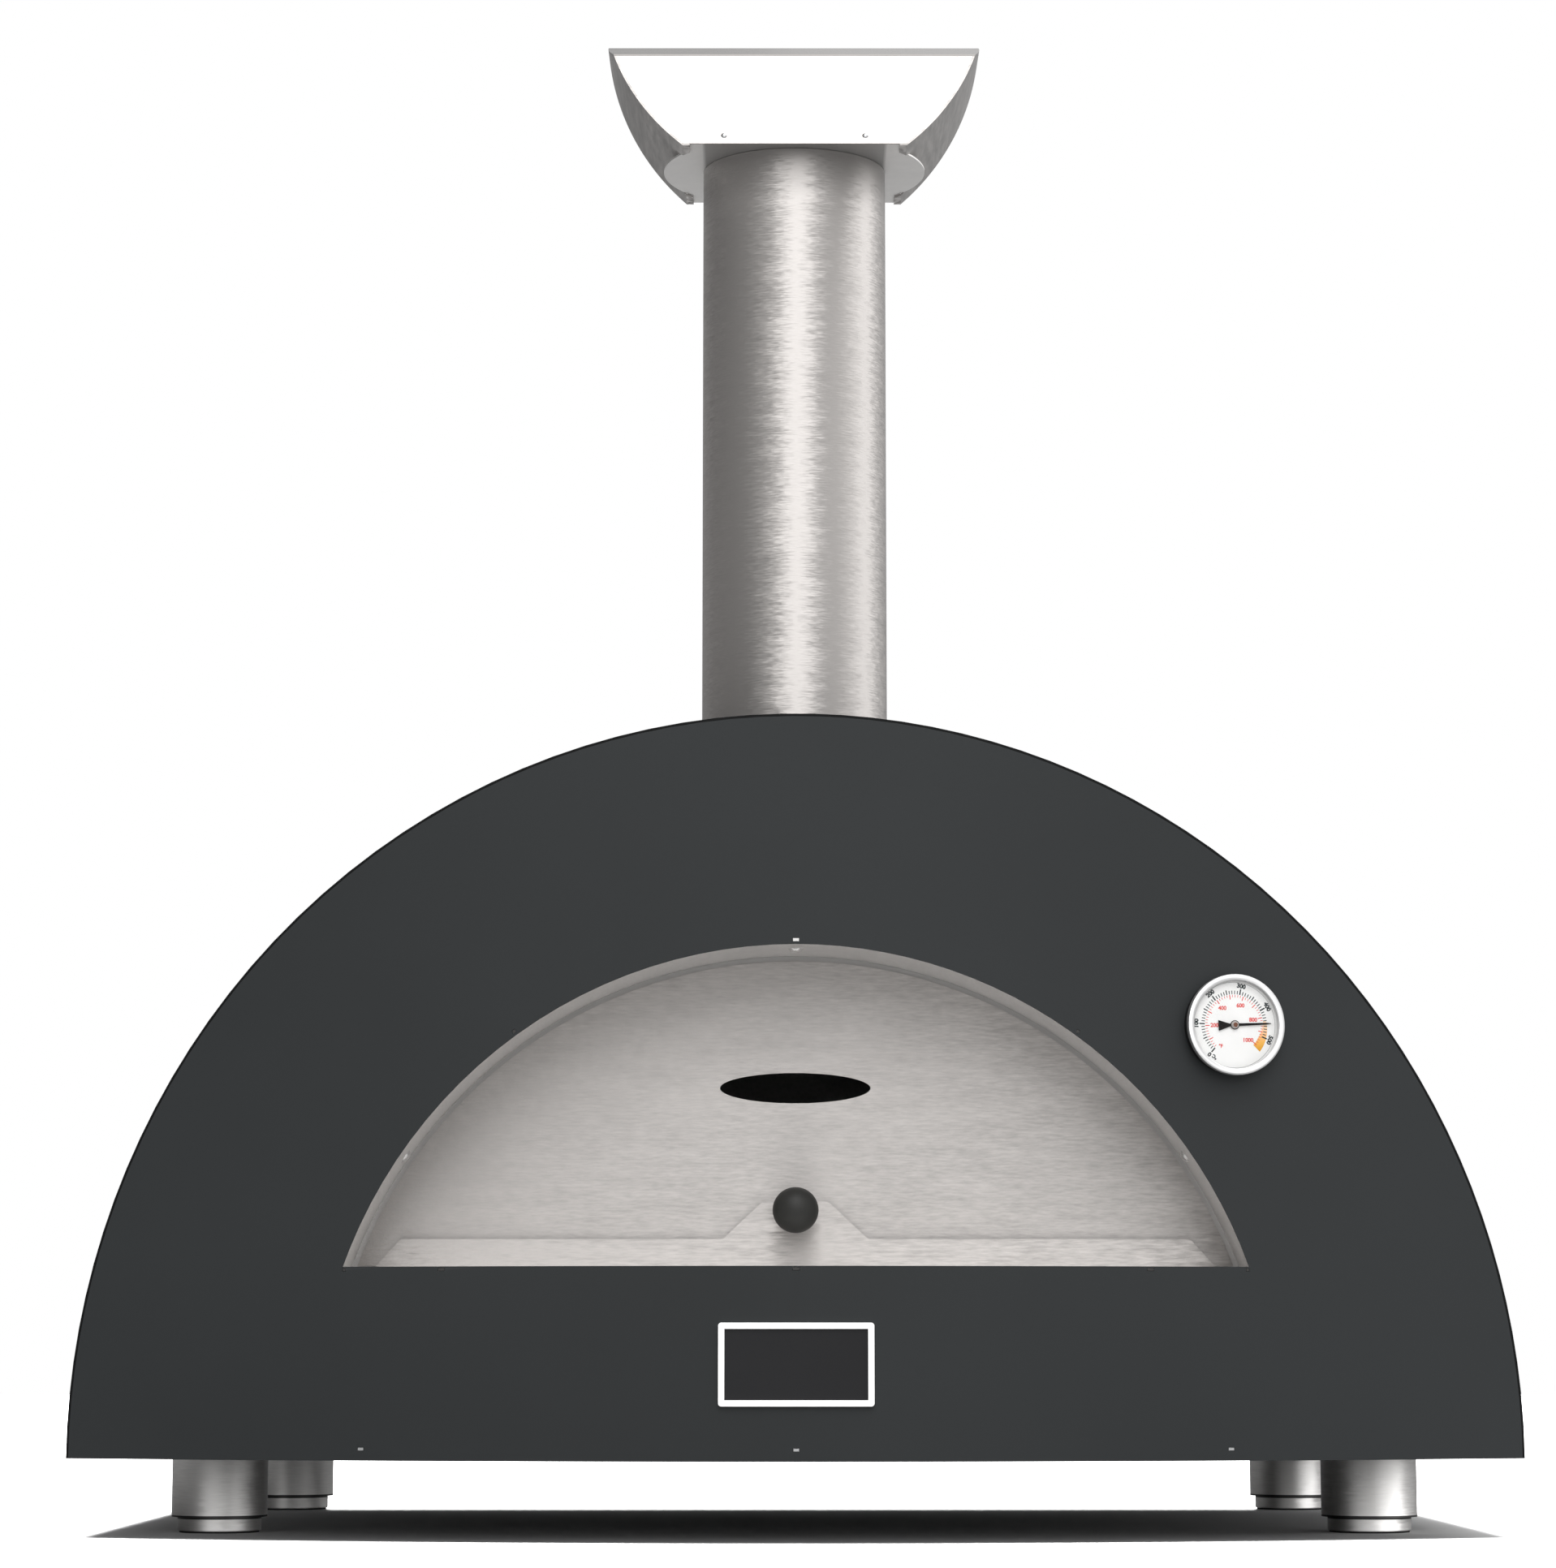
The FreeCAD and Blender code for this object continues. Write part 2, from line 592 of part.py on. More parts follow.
def cap_base():
    front = CAP_FRONT_D + CAP_T + 0.9
    disc = upright(CAP_LOBE_R, CAP_Z, CAP_Z + CAP_T)
    disc = disc.common(box(-200, 200, front, CAP_REAR_D, CAP_Z, CAP_Z + CAP_T))
    middle = box(-CAP_BASE_HALF, CAP_BASE_HALF, front, CAP_REAR_D, CAP_Z, CAP_Z + CAP_T)
    plate = disc.fuse(middle).removeSplitter()
    return plate.cut(upright(SPIGOT_R - SPIGOT_WALL, CAP_Z - 1.0, CAP_Z + 5.0))


def cap_wing(side):
    sheet = cap_lens(0.0).cut(cap_lens(CAP_T))
    upper = sheet.common(cap_profile(0.0, CAP_T + 0.1))
    lobe = upright(CAP_LOBE_R + GAP, CAP_Z - 5.0, CAP_Z + CAP_T + 0.1)
    tab_z = CAP_Z - CAP_T - 0.1
    lower = sheet.common(box(-200, 200, CAP_FRONT_D, CAP_REAR_D, tab_z, CAP_Z))
    inner, outer = CAP_TAB_X
    tabs = box(-outer, outer, CAP_FRONT_D, CAP_REAR_D, tab_z, CAP_Z - 0.1)
    tabs = tabs.cut(box(-inner, inner, CAP_FRONT_D - 1.0, CAP_REAR_D + 1.0, tab_z - 1.0, CAP_Z))
    tabs = tabs.common(cap_lens(0.0))
    half = box(min(0, side * 200), max(0, side * 200), CAP_FRONT_D, CAP_REAR_D, tab_z, 1300.0)
    return upper.fuse([lower, tabs]).cut(lobe).common(half).removeSplitter()


def cap_front():
    slab = cap_profile(0.0, CAP_T + 0.1).cut(cap_profile(CAP_T + 0.1, CAP_T - 5.0))
    plate = slab.common(cap_lens(CAP_T + 0.1))
    for side in (-1, 1):
        middle, out = cap_rivet_seat(side)
        hole = Part.makeCylinder(CAP_RIVET[2] + 0.1, 10.0, V(0, 0, -5.0))
        plate = plate.cut(aim(hole, middle, out))
    return plate


def cap_lid():
    slab = cap_profile(0.0, 0.0).cut(cap_profile(-10.0, CAP_T))
    return slab.common(cap_lens(0.0))


def cap_spigot():
    return tube(SPIGOT_R, SPIGOT_WALL, CAP_Z - CAP_SPIGOT_L, CAP_Z)


def cap_rivet_seat(side):
    lean = CAP_LEAN / (CAP_FRONT_Z - CAP_Z)
    out = V(0, -1, lean).normalize()
    depth = CAP_FRONT_D + lean * (CAP_RIVET_Z - CAP_Z)
    return V(side * CAP_RIVET_X, y_at(depth), CAP_RIVET_Z) + out * 0.05, out


def cap_rivets():
    rivet = dome_rivet(*CAP_RIVET)
    return Part.makeCompound([aim(rivet, *cap_rivet_seat(side)) for side in (-1, 1)])


# ---- thermometer -----------------------------------------------------------
GAUGE_TURN = math.asin(GAUGE_X / BOW_R)
GAUGE_OUT = V(math.sin(GAUGE_TURN), -math.cos(GAUGE_TURN), 0)
GAUGE_RIGHT = V(math.cos(GAUGE_TURN), math.sin(GAUGE_TURN), 0)
GAUGE_ORIGIN = V(GAUGE_X, y_at(bow_depth(GAUGE_X)), GAUGE_Z)


def gauge_frame(shape):
    return place(shape, GAUGE_ORIGIN, GAUGE_RIGHT, V(0, 0, 1), GAUGE_OUT)


def gauge_case():
    room_r = CASE_R - CASE_WALL
    cup = Part.makeCylinder(CASE_R, LENS_H - 0.2, V(0, 0, 0.1))
    room = Part.makeCylinder(room_r, 30.0, V(0, 0, 1.5))
    hole = Part.makeCylinder(SPINDLE_R + 1.0, 10.0, V(0, 0, -1.0))
    ledge = Part.makeCylinder(room_r, DIAL_H - 1.6, V(0, 0, 1.5))
    ledge = ledge.cut(Part.makeCylinder(room_r - 2.6, 20.0))
    return gauge_frame(cup.cut(room).fuse(ledge).removeSplitter().cut(hole))


def gauge_bezel():
    top = GAUGE_REACH
    lip = LENS_H + 1.6
    inner = CASE_R + 0.1
    ring = revolve([(inner, BEZEL_BACK), (GAUGE_R, BEZEL_BACK), (GAUGE_R, top - 1.2),
                    (GAUGE_R - 0.4, top - 0.4), (GAUGE_R - 1.4, top), (BEZEL_LIP_R + 2.0, top),
                    (BEZEL_LIP_R + 0.8, top - 0.3), (BEZEL_LIP_R, lip + 0.1), (BEZEL_LIP_R, lip),
                    (inner, lip)])
    return gauge_frame(ring)


def gauge_dial():
    disc = Part.makeCylinder(CASE_R - CASE_WALL - 0.1, 0.6, V(0, 0, DIAL_H))
    return gauge_frame(disc.cut(Part.makeCylinder(SPINDLE_R + GAP, 5.0, V(0, 0, DIAL_H - 1.0))))


def gauge_lens():
    return gauge_frame(Part.makeCylinder(CASE_R - 0.3, 1.5, V(0, 0, LENS_H)))


def gauge_stem():
    boss = Part.makeCylinder(GAUGE_BOSS_R, 14.0, V(0, 0, -14.0))
    probe = Part.makeCylinder(PROBE_R, PROBE_L - 13.0, V(0, 0, -PROBE_L))
    bore = Part.makeCylinder(SPINDLE_R + 1.0, 12.0, V(0, 0, -11.0))
    return gauge_frame(boss.fuse(probe).removeSplitter().cut(bore))


def gauge_nut():
    height = 6.0
    nut = hexagon(22.0, height, GAUGE_BOSS_R + 0.1)
    nut.translate(V(0, 0, -SKIN - 0.2 - height))
    return gauge_frame(nut)


def gauge_hub():
    base = DIAL_H + 1.0
    top = LENS_H - 0.8
    boss = revolve([(0, base), (HUB_R, base), (HUB_R, top - 0.6), (HUB_R - 0.8, top), (0, top)])
    spindle = Part.makeCylinder(SPINDLE_R, DIAL_H + 10.0, V(0, 0, -9.0))
    return gauge_frame(boss.fuse(spindle).removeSplitter())


def needle_blade(points, height):
    corners = [V(x, y, height) for x, y in points]
    return Part.Face(Part.makePolygon(corners + corners[:1])).extrude(V(0, 0, NEEDLE_T))


def gauge_needle():
    tip = NEEDLE_TIP
    root = HUB_R
    height = DIAL_H + 2.0
    front = [(root, 1.1), (tip - 4.0, 0.7), (tip, 0.25), (tip, -0.25), (tip - 4.0, -0.7), (root, -1.1)]
    back = [(-root, 1.0), (-4.4, 1.2), (-NEEDLE_TAIL, 4.2), (-NEEDLE_TAIL, -4.2), (-4.4, -1.2), (-root, -1.0)]
    ring = Part.makeCylinder(NEEDLE_RING_R, NEEDLE_T, V(0, 0, height))
    needle = ring.fuse([needle_blade(front, height), needle_blade(back, height)]).removeSplitter()
    needle = needle.cut(Part.makeCylinder(HUB_R + 0.05, 5.0, V(0, 0, height - 1.0)))
    needle.rotate(V(0, 0, 0), V(0, 0, 1), NEEDLE_REST)
    return gauge_frame(needle)


# ---- badge ---------------------------------------------------------------
def badge_block(width, height):
    return box(-width / 2, width / 2, -20.0, 20.0, BADGE_Z - height / 2, BADGE_Z + height / 2)


def bow_layer(inner, outer):
    """The space between two radii about the bow's axis, at the badge's height."""
    return bow(outer, 90.0, 190.0).cut(bow(inner, 89.0, 191.0))


def badge_frame():
    outer = badge_block(BADGE_W, BADGE_H)
    corners = [edge for edge in outer.Edges if edge.BoundBox.YLength > 1.0]
    outer = outer.makeFillet(BADGE_CORNER, corners)
    ring = outer.cut(badge_block(BADGE_W - 2 * BADGE_EDGE, BADGE_H - 2 * BADGE_EDGE))
    return ring.common(bow_layer(BOW_R + 0.1, BOW_R + BADGE_T))


def badge_plate():
    inset = 2 * BADGE_EDGE + 0.2
    return badge_block(BADGE_W - inset, BADGE_H - inset).common(bow_layer(BOW_R + 0.1, BOW_R + 1.3))


# ---- door ----------------------------------------------------------------
def door_panel():
    panel = arch(DOOR_R, MOUTH_Z, DOOR_FOOT_Z + DOOR_T + 0.1, DOOR_D, DOOR_D + DOOR_T)
    oval = Part.Ellipse(V(SLOT_HALF_W, 0, 0), V(0, SLOT_HALF_H, 0), V(0, 0, 0)).toShape()
    slot = Part.Face(Part.Wire([oval])).extrude(V(0, 0, 20.0))
    slot = place(slot, V(0, y_at(DOOR_D + 10.0), SLOT_Z), V(1, 0, 0), V(0, 0, 1), V(0, -1, 0))
    return panel.cut(slot).cut(bar_along_y(0, KNOB_Z, STUD_R + 0.2, DOOR_D - 1.0, DOOR_D + 5.0))


def door_foot():
    d = DOOR_FOOT_D
    top = DOOR_FOOT_TOP
    half = [(DOOR_FOOT_HALF[0], DOOR_FOOT_Z), (DOOR_FOOT_HALF[1], top),
            (DOOR_BUMP_HALF[0], top), (DOOR_BUMP_HALF[1], DOOR_BUMP_TOP)]
    outline = [(x, d, z) for x, z in half] + [(-x, d, z) for x, z in reversed(half)]
    leg = prism(outline, V(0, DOOR_T, 0))
    corners = [e for e in leg.Edges if e.BoundBox.YLength > 1.0 and e.BoundBox.ZMin > DOOR_FOOT_Z + 1.0]
    leg = leg.makeFillet(5.0, corners)
    tread = box(-DOOR_TREAD_HALF, DOOR_TREAD_HALF, d, d + DOOR_FOOT_L, DOOR_FOOT_Z, DOOR_FOOT_Z + DOOR_T)
    foot = leg.fuse(tread).removeSplitter()
    return foot.cut(bar_along_y(0, KNOB_Z, STUD_R + 0.2, d - 1.0, d + 4.0))


def door_knob():
    ball = Part.makeSphere(KNOB_R, V(0, y_at(KNOB_D), KNOB_Z))
    neck = bar_along_y(0, KNOB_Z, KNOB_NECK_R, KNOB_D + 8.0, DOOR_FOOT_D - 0.05)
    knob = ball.fuse(neck).removeSplitter()
    return knob.cut(bar_along_y(0, KNOB_Z, STUD_R + 0.05, KNOB_D + 4.0, DOOR_D))


def door_stud():
    return bar_along_y(0, KNOB_Z, STUD_R, KNOB_D + 5.0, DOOR_D + DOOR_T + 10.0)


def door_nut():
    nut = hexagon(13.0, 6.5, STUD_R + 0.05)
    return aim(nut, V(0, y_at(DOOR_D + DOOR_T + 0.05), KNOB_Z), V(0, 1, 0))


# ---- export --------------------------------------------------------------
def main():
    os.makedirs("parts", exist_ok=True)
    save("facade_panel", facade_panel())
    save("roof_shell", roof_shell())
    save("rear_panel", rear_panel())
    save("rear_screws", rear_screws())
    save("base_pan", base_pan())
    save("base_rail_left", rail(-1))
    save("base_rail_right", rail(1))
    save("base_cross_front", cross_tube(CROSS_D[0]))
    save("base_cross_rear", cross_tube(CROSS_D[1]))
    for name, (x, depth) in zip(FOOT_NAMES, foot_places()):
        save("foot_tube_" + name, foot_tube(x, depth))
        save("foot_base_" + name, foot_base(x, depth))
    save("foot_pads", foot_pads())
    save("foot_bolts", foot_bolts())
    save("mouth_liner", mouth_liner())
    save("liner_screws", liner_screws())
    for number in range(4):
        save("floor_tile_" + str(number + 1), floor_tile(number % 2, number // 2))
    save("floor_plate", floor_plate())
    save("floor_board", floor_board())
    save("inner_vault", inner_vault())
    save("front_inner_wall", front_inner_wall())
    save("rear_inner_wall", rear_inner_wall())
    save("vault_blanket", vault_blanket())
    save("front_blanket", front_blanket())
    save("rear_blanket", rear_blanket())
    save("flue_spigot", flue_spigot())
    save("flue_pipe", flue_pipe())
    save("flue_flange", flue_flange())
    save("flange_screws", flange_screws())
    save("cap_base", cap_base())
    save("cap_spigot", cap_spigot())
    save("cap_front", cap_front())
    save("cap_lid", cap_lid())
    save("cap_wing_left", cap_wing(-1))
    save("cap_wing_right", cap_wing(1))
    save("cap_rivets", cap_rivets())
    save("gauge_case", gauge_case())
    save("gauge_bezel", gauge_bezel())
    save("gauge_dial", gauge_dial())
    save("gauge_lens", gauge_lens())
    save("gauge_stem", gauge_stem())
    save("gauge_nut", gauge_nut())
    save("gauge_hub", gauge_hub())
    save("gauge_needle", gauge_needle())
    save("badge_frame", badge_frame())
    save("badge_plate", badge_plate())
    save("door_panel", door_panel())
    save("door_foot", door_foot())
    save("door_knob", door_knob())
    save("door_stud", door_stud())
    save("door_nut", door_nut())


main()
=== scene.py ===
import json
import math

import bmesh
import bpy
from mathutils import Matrix, Vector


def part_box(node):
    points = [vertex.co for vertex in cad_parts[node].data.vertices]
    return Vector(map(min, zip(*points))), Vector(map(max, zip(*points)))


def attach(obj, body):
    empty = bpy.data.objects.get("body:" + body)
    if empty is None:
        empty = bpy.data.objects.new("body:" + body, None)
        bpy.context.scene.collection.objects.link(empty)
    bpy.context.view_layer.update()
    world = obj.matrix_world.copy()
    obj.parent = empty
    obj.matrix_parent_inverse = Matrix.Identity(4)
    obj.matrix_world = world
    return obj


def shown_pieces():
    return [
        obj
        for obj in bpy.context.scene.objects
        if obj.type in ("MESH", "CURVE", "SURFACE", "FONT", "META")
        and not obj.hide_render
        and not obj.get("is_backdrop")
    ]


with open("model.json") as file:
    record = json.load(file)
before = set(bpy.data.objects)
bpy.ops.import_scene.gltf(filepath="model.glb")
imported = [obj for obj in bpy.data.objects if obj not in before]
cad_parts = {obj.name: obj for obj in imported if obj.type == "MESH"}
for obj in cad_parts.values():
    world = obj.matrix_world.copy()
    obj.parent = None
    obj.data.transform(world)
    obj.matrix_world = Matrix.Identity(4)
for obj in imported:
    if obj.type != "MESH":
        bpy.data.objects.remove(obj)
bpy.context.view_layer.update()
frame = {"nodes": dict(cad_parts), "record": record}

# The looks of a wood fired pizza oven, in metres, in the frame of the CAD model.
# -Y is the front, +X the right side seen from the front, +Z up.

scene = bpy.context.scene
nodes = frame["nodes"]
MM = 0.001
FRONT_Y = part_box("facade_panel")[0].y
BOW_R = 1.583             # radius of the facade's bow
CROWN_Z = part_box("mouth_liner")[1].z
TAB_END = 0.0018          # how far a tab of the liner reaches into the facade
CROWN_TAB_H = 0.006       # height below CROWN_Z that holds the tab at the crown
PIPE_LOW, PIPE_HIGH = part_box("flue_pipe")
PIPE_AXIS = (PIPE_LOW + PIPE_HIGH) / 2
DOOR_LOW, DOOR_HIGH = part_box("door_panel")
needle_joint = next(j for j in frame["record"]["behaviour"]["joints"] if j["name"] == "needle_turn")
GAUGE = Vector(needle_joint["pos_m"])
OUT = Vector(needle_joint["axis"]).normalized()

# Where a noise has most of its values, and where it has nearly all of them.
MIDDLE = (0.35, 0.65)
WIDE = (0.3, 0.7)


# ---- node helpers ----------------------------------------------------------
class Tree:
    """A short way to write a node tree."""

    def __init__(self, tree):
        self.tree = tree
        self.tree.nodes.clear()

    def add(self, kind, _inputs=None, **settings):
        node = self.tree.nodes.new(kind)
        for key, value in settings.items():
            setattr(node, key, value)
        for key, value in (_inputs or {}).items():
            self.put(node.inputs[key], value)
        return node

    def put(self, socket, value):
        if isinstance(value, bpy.types.NodeSocket):
            self.tree.links.new(value, socket)
        else:
            socket.default_value = value

    def math(self, operation, *values, clamp=False):
        node = self.add("ShaderNodeMath", operation=operation, use_clamp=clamp)
        for socket, value in zip(node.inputs, values):
            self.put(socket, value)
        return node.outputs[0]

    def vector(self, operation, *values):
        node = self.add("ShaderNodeVectorMath", operation=operation)
        for socket, value in zip(node.inputs, values):
            self.put(socket, value)
        return node.outputs["Value" if operation == "LENGTH" else "Vector"]

    def split(self, point):
        """The X, Y and Z of a point."""
        return self.add("ShaderNodeSeparateXYZ", {"Vector": point}).outputs

    def joined(self, x, y, z):
        return self.add("ShaderNodeCombineXYZ", {"X": x, "Y": y, "Z": z}).outputs["Vector"]

    def ramp(self, factor, stops):
        node = self.add("ShaderNodeValToRGB", {"Fac": factor})
        ramp = node.color_ramp
        while len(ramp.elements) < len(stops):
            ramp.elements.new(0.5)
        for element, (place, colour) in zip(ramp.elements, stops):
            element.position = place
            element.color = (*colour, 1.0) if isinstance(colour, tuple) else (colour, colour, colour, 1.0)
        return node.outputs["Color"]

    def mix(self, factor, first, second, blend="MIX"):
        node = self.add("ShaderNodeMix", data_type="RGBA", blend_type=blend)
        self.put(node.inputs["Factor"], factor)
        self.put(node.inputs["A"], first)
        self.put(node.inputs["B"], second)
        return node.outputs["Result"]

    def noise(self, vector, scale, detail=2.0, roughness=0.5):
        node = self.add("ShaderNodeTexNoise", {"Vector": vector, "Scale": scale, "Detail": detail,
                                               "Roughness": roughness})
        return node.outputs["Fac"]

    def remap(self, value, low, high, to_low, to_high):
        node = self.add("ShaderNodeMapRange", {"Value": value, "From Min": low, "From Max": high,
                                               "To Min": to_low, "To Max": to_high})
        return node.outputs["Result"]


WHITE = (1.0, 1.0, 1.0)
NEUTRAL = (1.0, 0.985, 0.970)
WARM = (1.0, 0.955, 0.925)
SLATE = (0.0246, 0.0277, 0.0293)


def grey(value, tint=WHITE):
    return (value * tint[0], value * tint[1], value * tint[2], 1.0)


def opaque(colour, factor=1.0):
    return tuple(channel * factor for channel in colour) + (1.0,)


def new_material(name):
    material = bpy.data.materials.new(name)
    material.use_nodes = True
    tree = Tree(material.node_tree)
    out = tree.add("ShaderNodeOutputMaterial")
    shader = tree.add("ShaderNodeBsdfPrincipled")
    tree.put(out.inputs["Surface"], shader.outputs["BSDF"])
    return material, tree, shader


def object_point(tree):
    return tree.add("ShaderNodeTexCoord").outputs["Object"]


def wrapped(tree, point, axis_x, axis_y, radius):
    """(arc length, height, radius) about an upright axis, for grain that runs round a tube."""
    parts = tree.split(point)
    x = tree.math("SUBTRACT", parts["X"], axis_x)
    y = tree.math("SUBTRACT", parts["Y"], axis_y)
    turn = tree.math("ARCTAN2", x, tree.math("MULTIPLY", y, -1.0))
    return tree.joined(tree.math("MULTIPLY", turn, radius), 0.0, parts["Z"])


def faces_front(tree):
    """1 where the surface faces the front squarely, else 0."""
    normal = tree.add("ShaderNodeNewGeometry").outputs["True Normal"]
    return tree.math("LESS_THAN", tree.split(normal)["Y"], -0.7)


def between(tree, value, low, high):
    """1 where a value lies between two limits, else 0."""
    return tree.math("MULTIPLY", tree.math("GREATER_THAN", value, low), tree.math("LESS_THAN", value, high))


def tab_ends(tree):
    """1 on the ends of the liner's tabs in the facade, and 1 on those that get painted shade as dark slots
    (all but the crown's).
    """
    parts = tree.split(tree.vector("ADD", object_point(tree), (0.0, -FRONT_Y - BOW_R, 0.0)))
    reach = tree.vector("LENGTH", tree.joined(parts["X"], parts["Y"], 0.0))
    outer = tree.math("GREATER_THAN", reach, BOW_R - TAB_END)
    below_crown = tree.math("LESS_THAN", parts["Z"], CROWN_Z - CROWN_TAB_H)
    return outer, tree.math("MULTIPLY", outer, below_crown)


def stained(tree, tone, dark, reach):
    """A tone with painted shadow where a point lies in front of the pipe's axis and within reach of it
    sideways, for the shaded top of the pipe.
    """
    soft_edge = 0.003
    place = tree.split(object_point(tree))
    aside = tree.math("ABSOLUTE", tree.math("SUBTRACT", place["X"], PIPE_AXIS.x))
    near = tree.remap(aside, reach - soft_edge, reach, 1.0, 0.0)
    # spot is where the painted shadow falls: close to the pipe sideways and in front of its axis
    spot = tree.math("MULTIPLY", near, tree.math("LESS_THAN", place["Y"], PIPE_AXIS.y))
    return tree.mix(spot, tone, dark)


def swung(tree, streak, amount):
    """The normal, swung sideways from one line of the grain to the next."""
    normal = tree.add("ShaderNodeNewGeometry").outputs["Normal"]
    swing = tree.math("MULTIPLY", tree.math("SUBTRACT", streak, 0.5), amount)
    sideways = tree.vector("CROSS_PRODUCT", normal, (0.0, 0.0, 1.0))
    moved = tree.add("ShaderNodeVectorMath", {0: sideways, "Scale": swing}, operation="SCALE")
    return tree.vector("NORMALIZE", tree.vector("ADD", normal, moved.outputs["Vector"]))


def brushed(name, base, tint=WARM, rough=0.45, around=None, anisotropic=0.95, depth=0.012, length=0.030,
            width=0.0010, spread=0.06, painted_front_shade=1.0, painted_gap_shade=None, tabs=False, waver=0.0, painted_shade=None, pipe_shadow_reach=None):
    """Level brushed stainless steel.
    around = (x, y, radius) wraps the grain round an upright tube.
    depth (in millimetres), length and width are those of the grain, and spread is how much its tone varies.
    painted_front_shade tones down what faces the front: painted shade.
    painted_gap_shade = (low, high) is a dark line of painted shade between two heights, where two parts meet.
    tabs paints the ends of the liner's tabs in the facade below the crown nearly black, as painted shade of
    dark slots, and needs a painted_front_shade below 1.
    waver swings the surface sideways from line to line, which frays the edges of a highlight.
    painted_shade = (from, to, amount) is painted shade that grows between two heights.
    pipe_shadow_reach is how far painted shadow in front of the pipe reaches sideways."""
    material, tree, shader = new_material(name)
    point = object_point(tree)
    if around:
        point = wrapped(tree, point, *around)
    lines = (1.0 / length, 1.0 / length, 1.0 / width)
    wide_lines = tuple(per_metre * 0.22 for per_metre in lines)
    fine = tree.noise(tree.vector("MULTIPLY", point, lines), 1.0, 3.0, 0.6)
    broad = tree.noise(tree.vector("MULTIPLY", point, wide_lines), 1.0, 2.0, 0.5)
    cloud = tree.noise(point, 9.0, 2.0, 0.5)
    streak = tree.math("ADD", tree.math("MULTIPLY", fine, 0.68), tree.math("MULTIPLY", broad, 0.32))
    tone = tree.mix(tree.remap(streak, *MIDDLE, 0.0, 1.0), grey(base * (1.0 - spread), tint),
                    grey(base * (1.0 + spread), tint))
    tone = tree.mix(tree.remap(cloud, *MIDDLE, 0.0, 0.10), tone, grey(base * 0.86, tint))
    # painted shade on what faces the front squarely
    if painted_front_shade < 1.0:
        front = faces_front(tree)
        if tabs:
            # painted shade: the tab ends below the crown are made nearly black, like dark slots
            outer, painted_slot_shade = tab_ends(tree)
            tone = tree.mix(painted_slot_shade, tone, grey(base * 0.10, tint))
            front = tree.math("SUBTRACT", front, outer, clamp=True)
        tone = tree.mix(front, tone, grey(base * painted_front_shade, tint))
    # painted shade, growing between two heights
    if painted_shade:
        begin, end, amount = painted_shade
        height = tree.split(object_point(tree))["Z"]
        tone = tree.mix(tree.remap(height, begin, end, 0.0, amount), tone, grey(base * 0.20, tint))
    # painted shadow of the pipe's top, in front of the pipe
    if pipe_shadow_reach:
        tone = stained(tree, tone, grey(base * 0.52, tint), pipe_shadow_reach)
    # painted shade: a dark line between two heights
    if painted_gap_shade:
        height = tree.split(object_point(tree))["Z"]
        tone = tree.mix(between(tree, height, *painted_gap_shade), tone, grey(base * 0.10, tint))
    tree.put(shader.inputs["Base Color"], tone)
    shader.inputs["Metallic"].default_value = 1.0
    shader.inputs["Anisotropic"].default_value = anisotropic
    tree.put(shader.inputs["Roughness"], tree.remap(streak, *WIDE, rough - 0.04, rough + 0.04))
    bump = tree.add("ShaderNodeBump", {"Strength": 0.5, "Distance": depth * MM, "Height": streak})
    if waver:
        tree.put(bump.inputs["Normal"], swung(tree, streak, waver))
    tree.put(shader.inputs["Normal"], bump.outputs["Normal"])
    if anisotropic:
        tree.put(shader.inputs["Tangent"], tree.joined(0.0, 0.0, 1.0))
    return material


def powder_coat(name, colour, rough=0.55, bump_size=0.0009, bump_height=0.02, painted_rim_shade=False):
    """Fine matt powder coat with a slight orange peel. painted_rim_shade paints shade on what faces the front
    squarely.
    """
    material, tree, shader = new_material(name)
    point = object_point(tree)
    peel = tree.noise(point, 1.0 / bump_size, 3.0, 0.55)
    wave = tree.noise(point, 60.0, 2.0, 0.5)
    cloud = tree.noise(point, 3.0, 3.0, 0.5)
    tone = tree.mix(tree.remap(cloud, *MIDDLE, 0.0, 1.0), opaque(colour, 0.92), opaque(colour, 1.08))
    tone = tree.mix(tree.remap(peel, *MIDDLE, 0.0, 0.20), tone, opaque(colour, 1.2))
    # painted shade on what faces the front squarely
    if painted_rim_shade:
        tone = tree.mix(faces_front(tree), tone, opaque(colour, 0.12))
    tree.put(shader.inputs["Base Color"], tone)
    tree.put(shader.inputs["Roughness"], tree.remap(peel, *WIDE, rough - 0.06, rough + 0.08))
    height = tree.math("ADD", peel, tree.math("MULTIPLY", wave, 2.0))
    bump = tree.add("ShaderNodeBump", {"Strength": 0.35, "Distance": bump_height * MM, "Height": height})
    tree.put(shader.inputs["Normal"], bump.outputs["Normal"])
    shader.inputs["Specular IOR Level"].default_value = 0.2 if painted_rim_shade else 0.35
    return material


